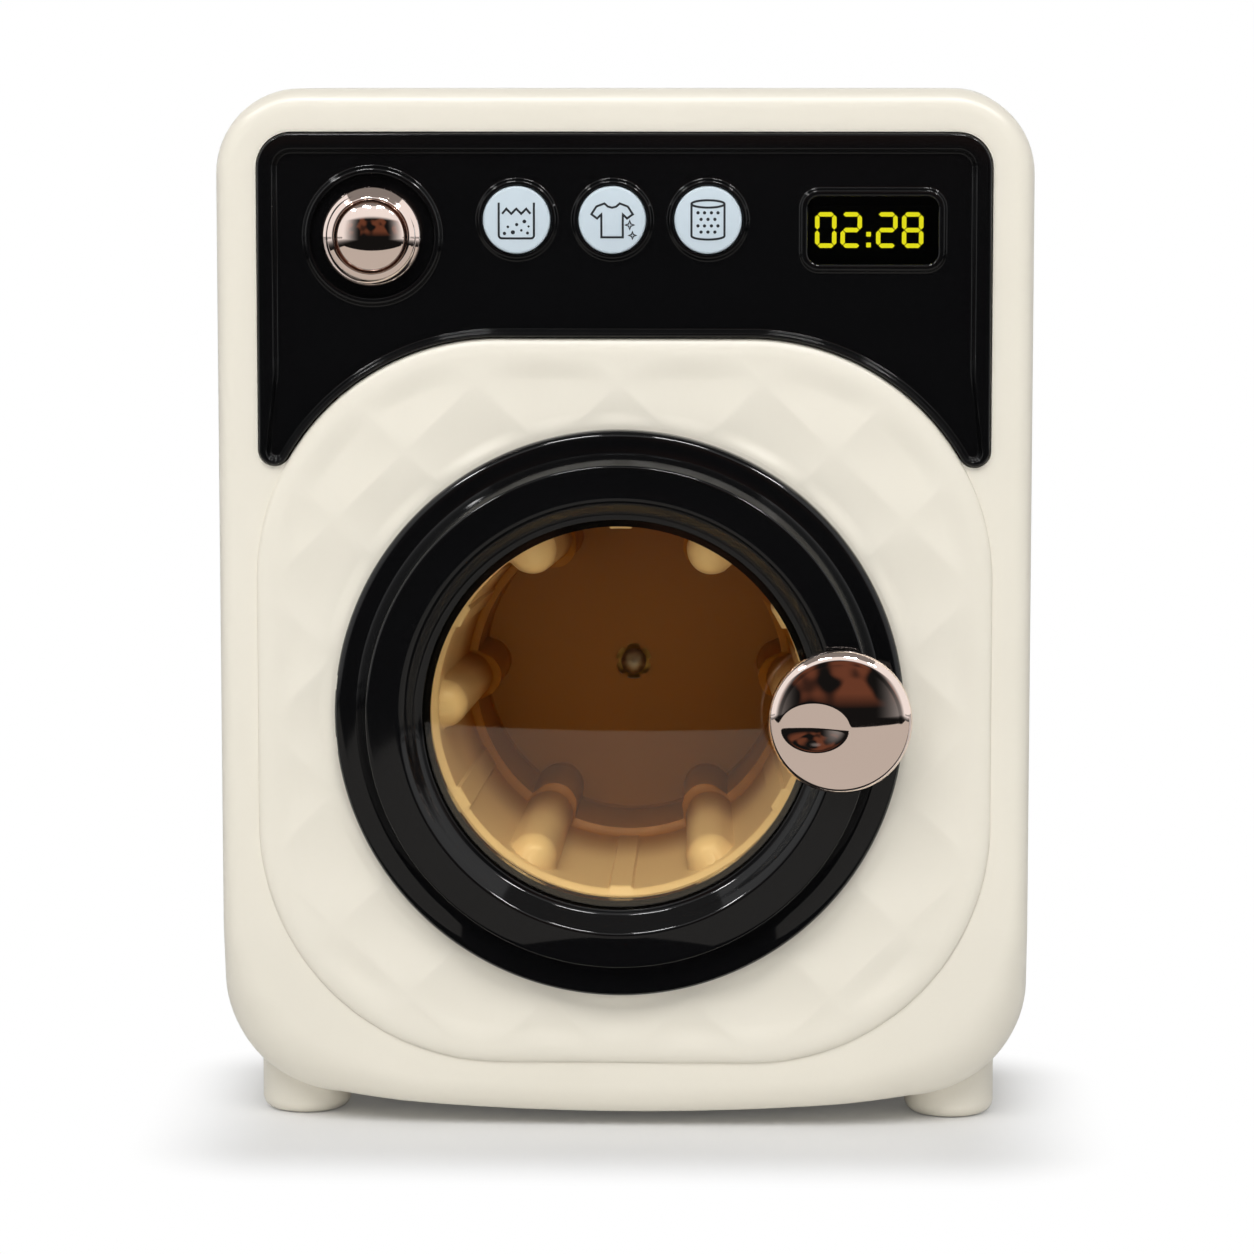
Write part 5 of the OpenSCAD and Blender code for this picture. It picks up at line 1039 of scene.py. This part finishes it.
def makeCards():
    # cards seen in reflections and through glass, not straight: a dark floor, a dark wall that gets browner
    # upwards and fades into white at its edges, a pale table in front of the machine and a grey ceiling
    c = cards
    dark, tree, shine = glowing("darkCard", c["low"])
    place = objectPlace(tree)
    at = separate(tree, place)
    clouds = fadeOver(tree, noise(tree, place, c["cloudScale"], 1), c["cloudFrom"], c["cloudTo"])
    brown = combine(tree, "MULTIPLY", fadeOver(tree, at["Z"], c["topFrom"], c["topTo"], soft=False), clouds)
    tone = blend(tree, brown, c["low"] + (1,), c["top"] + (1,))
    sideways = combine(tree, "ABSOLUTE", at["X"], 0)
    edges = combine(tree, "MAXIMUM", fadeOver(tree, sideways, c["wide"] * c["fadeWide"], c["wide"]),
                    fadeOver(tree, at["Z"], c["high"] * c["fadeHigh"], c["high"]))
    feed(tree, shine, {"Color": blend(tree, edges, tone, (1, 1, 1, 1))})
    points = flatCard(-c["start"], -c["far"], c["wide"], c["level"]) + flatCard(*c["table"])
    points += flatCard(*c["ceiling"])
    points += [(c["wide"], -c["far"], c["high"]), (-c["wide"], -c["far"], c["high"])]
    mesh = bpy.data.meshes.new("darkCards")
    mesh.from_pydata(points, [], [(0, 3, 2, 1), (3, 13, 12, 2), (4, 7, 6, 5), (8, 9, 10, 11)])
    for stuff in (dark, glowing("paleCard", c["tableTone"])[0], glowing("greyCard", c["ceilingTone"])[0]):
        mesh.materials.append(stuff)
    mesh.polygons[2].material_index = 1
    mesh.polygons[3].material_index = 2
    card = addObject("darkCards", mesh)
    card.visible_camera = card.visible_diffuse = card.visible_shadow = False


# Each lamp's place, what it points at, its width and height in metres, and its watts. Two light the object;
# the sparks show only as small highlights.
lamps = {"keyLight": ((-0.15, -2.1, 2.2), (0, 0, 0.13), 2.6, 1.5, 60),
         "fillLight": ((0, -2.2, 0.4), (0, 0, 0.08), 2.0, 0.5, 7)}
sparks = {"places": ((-1.5, -1.3, 2.0), (-0.5, -1.5, 2.2), (0.45, -1.45, 2.2), (1.3, -1.4, 2.0)),
          "target": (0, 0, 0.13), "wide": 0.5, "high": 0.12, "watts": 16}


def lamp(name, at, target, wide, high, watts, onlyShine=False):
    # lamp with a rectangular face
    light = bpy.data.lights.new(name, "AREA")
    light.shape, light.size, light.size_y, light.energy = "RECTANGLE", wide, high, watts
    made = addObject(name, light)
    made.location = at
    made.rotation_euler = (Vector(target) - Vector(at)).to_track_quat("-Z", "Y").to_euler()
    made.visible_glossy, made.visible_diffuse = onlyShine, not onlyShine


view = {"lens": 134.85, "sensor": 36, "x": 0.0439, "y": -1.3027, "overFloorGap": 0.2738,
        "way": (-0.0347, 0.9928, -0.1149)}


def makeCamera():
    # camera at the view of the photograph
    camera = addObject("camera", bpy.data.cameras.new("camera"))
    camera.data.lens, camera.data.sensor_width = view["lens"], view["sensor"]
    camera.location = (view["x"], view["y"], floorGap * mm + view["overFloorGap"])
    camera.rotation_euler = Vector(view["way"]).to_track_quat("-Z", "Y").to_euler()
    bpy.context.scene.camera = camera


makeStage()
makeWorld()
makeCards()
makeCamera()
for name, settings in lamps.items():
    lamp(name, *settings)
for i, at in enumerate(sparks["places"]):
    lamp("spark%d" % i, at, sparks["target"], sparks["wide"], sparks["high"], sparks["watts"], True)
bpy.context.scene.view_settings.view_transform = "Standard"

print("scene ready")
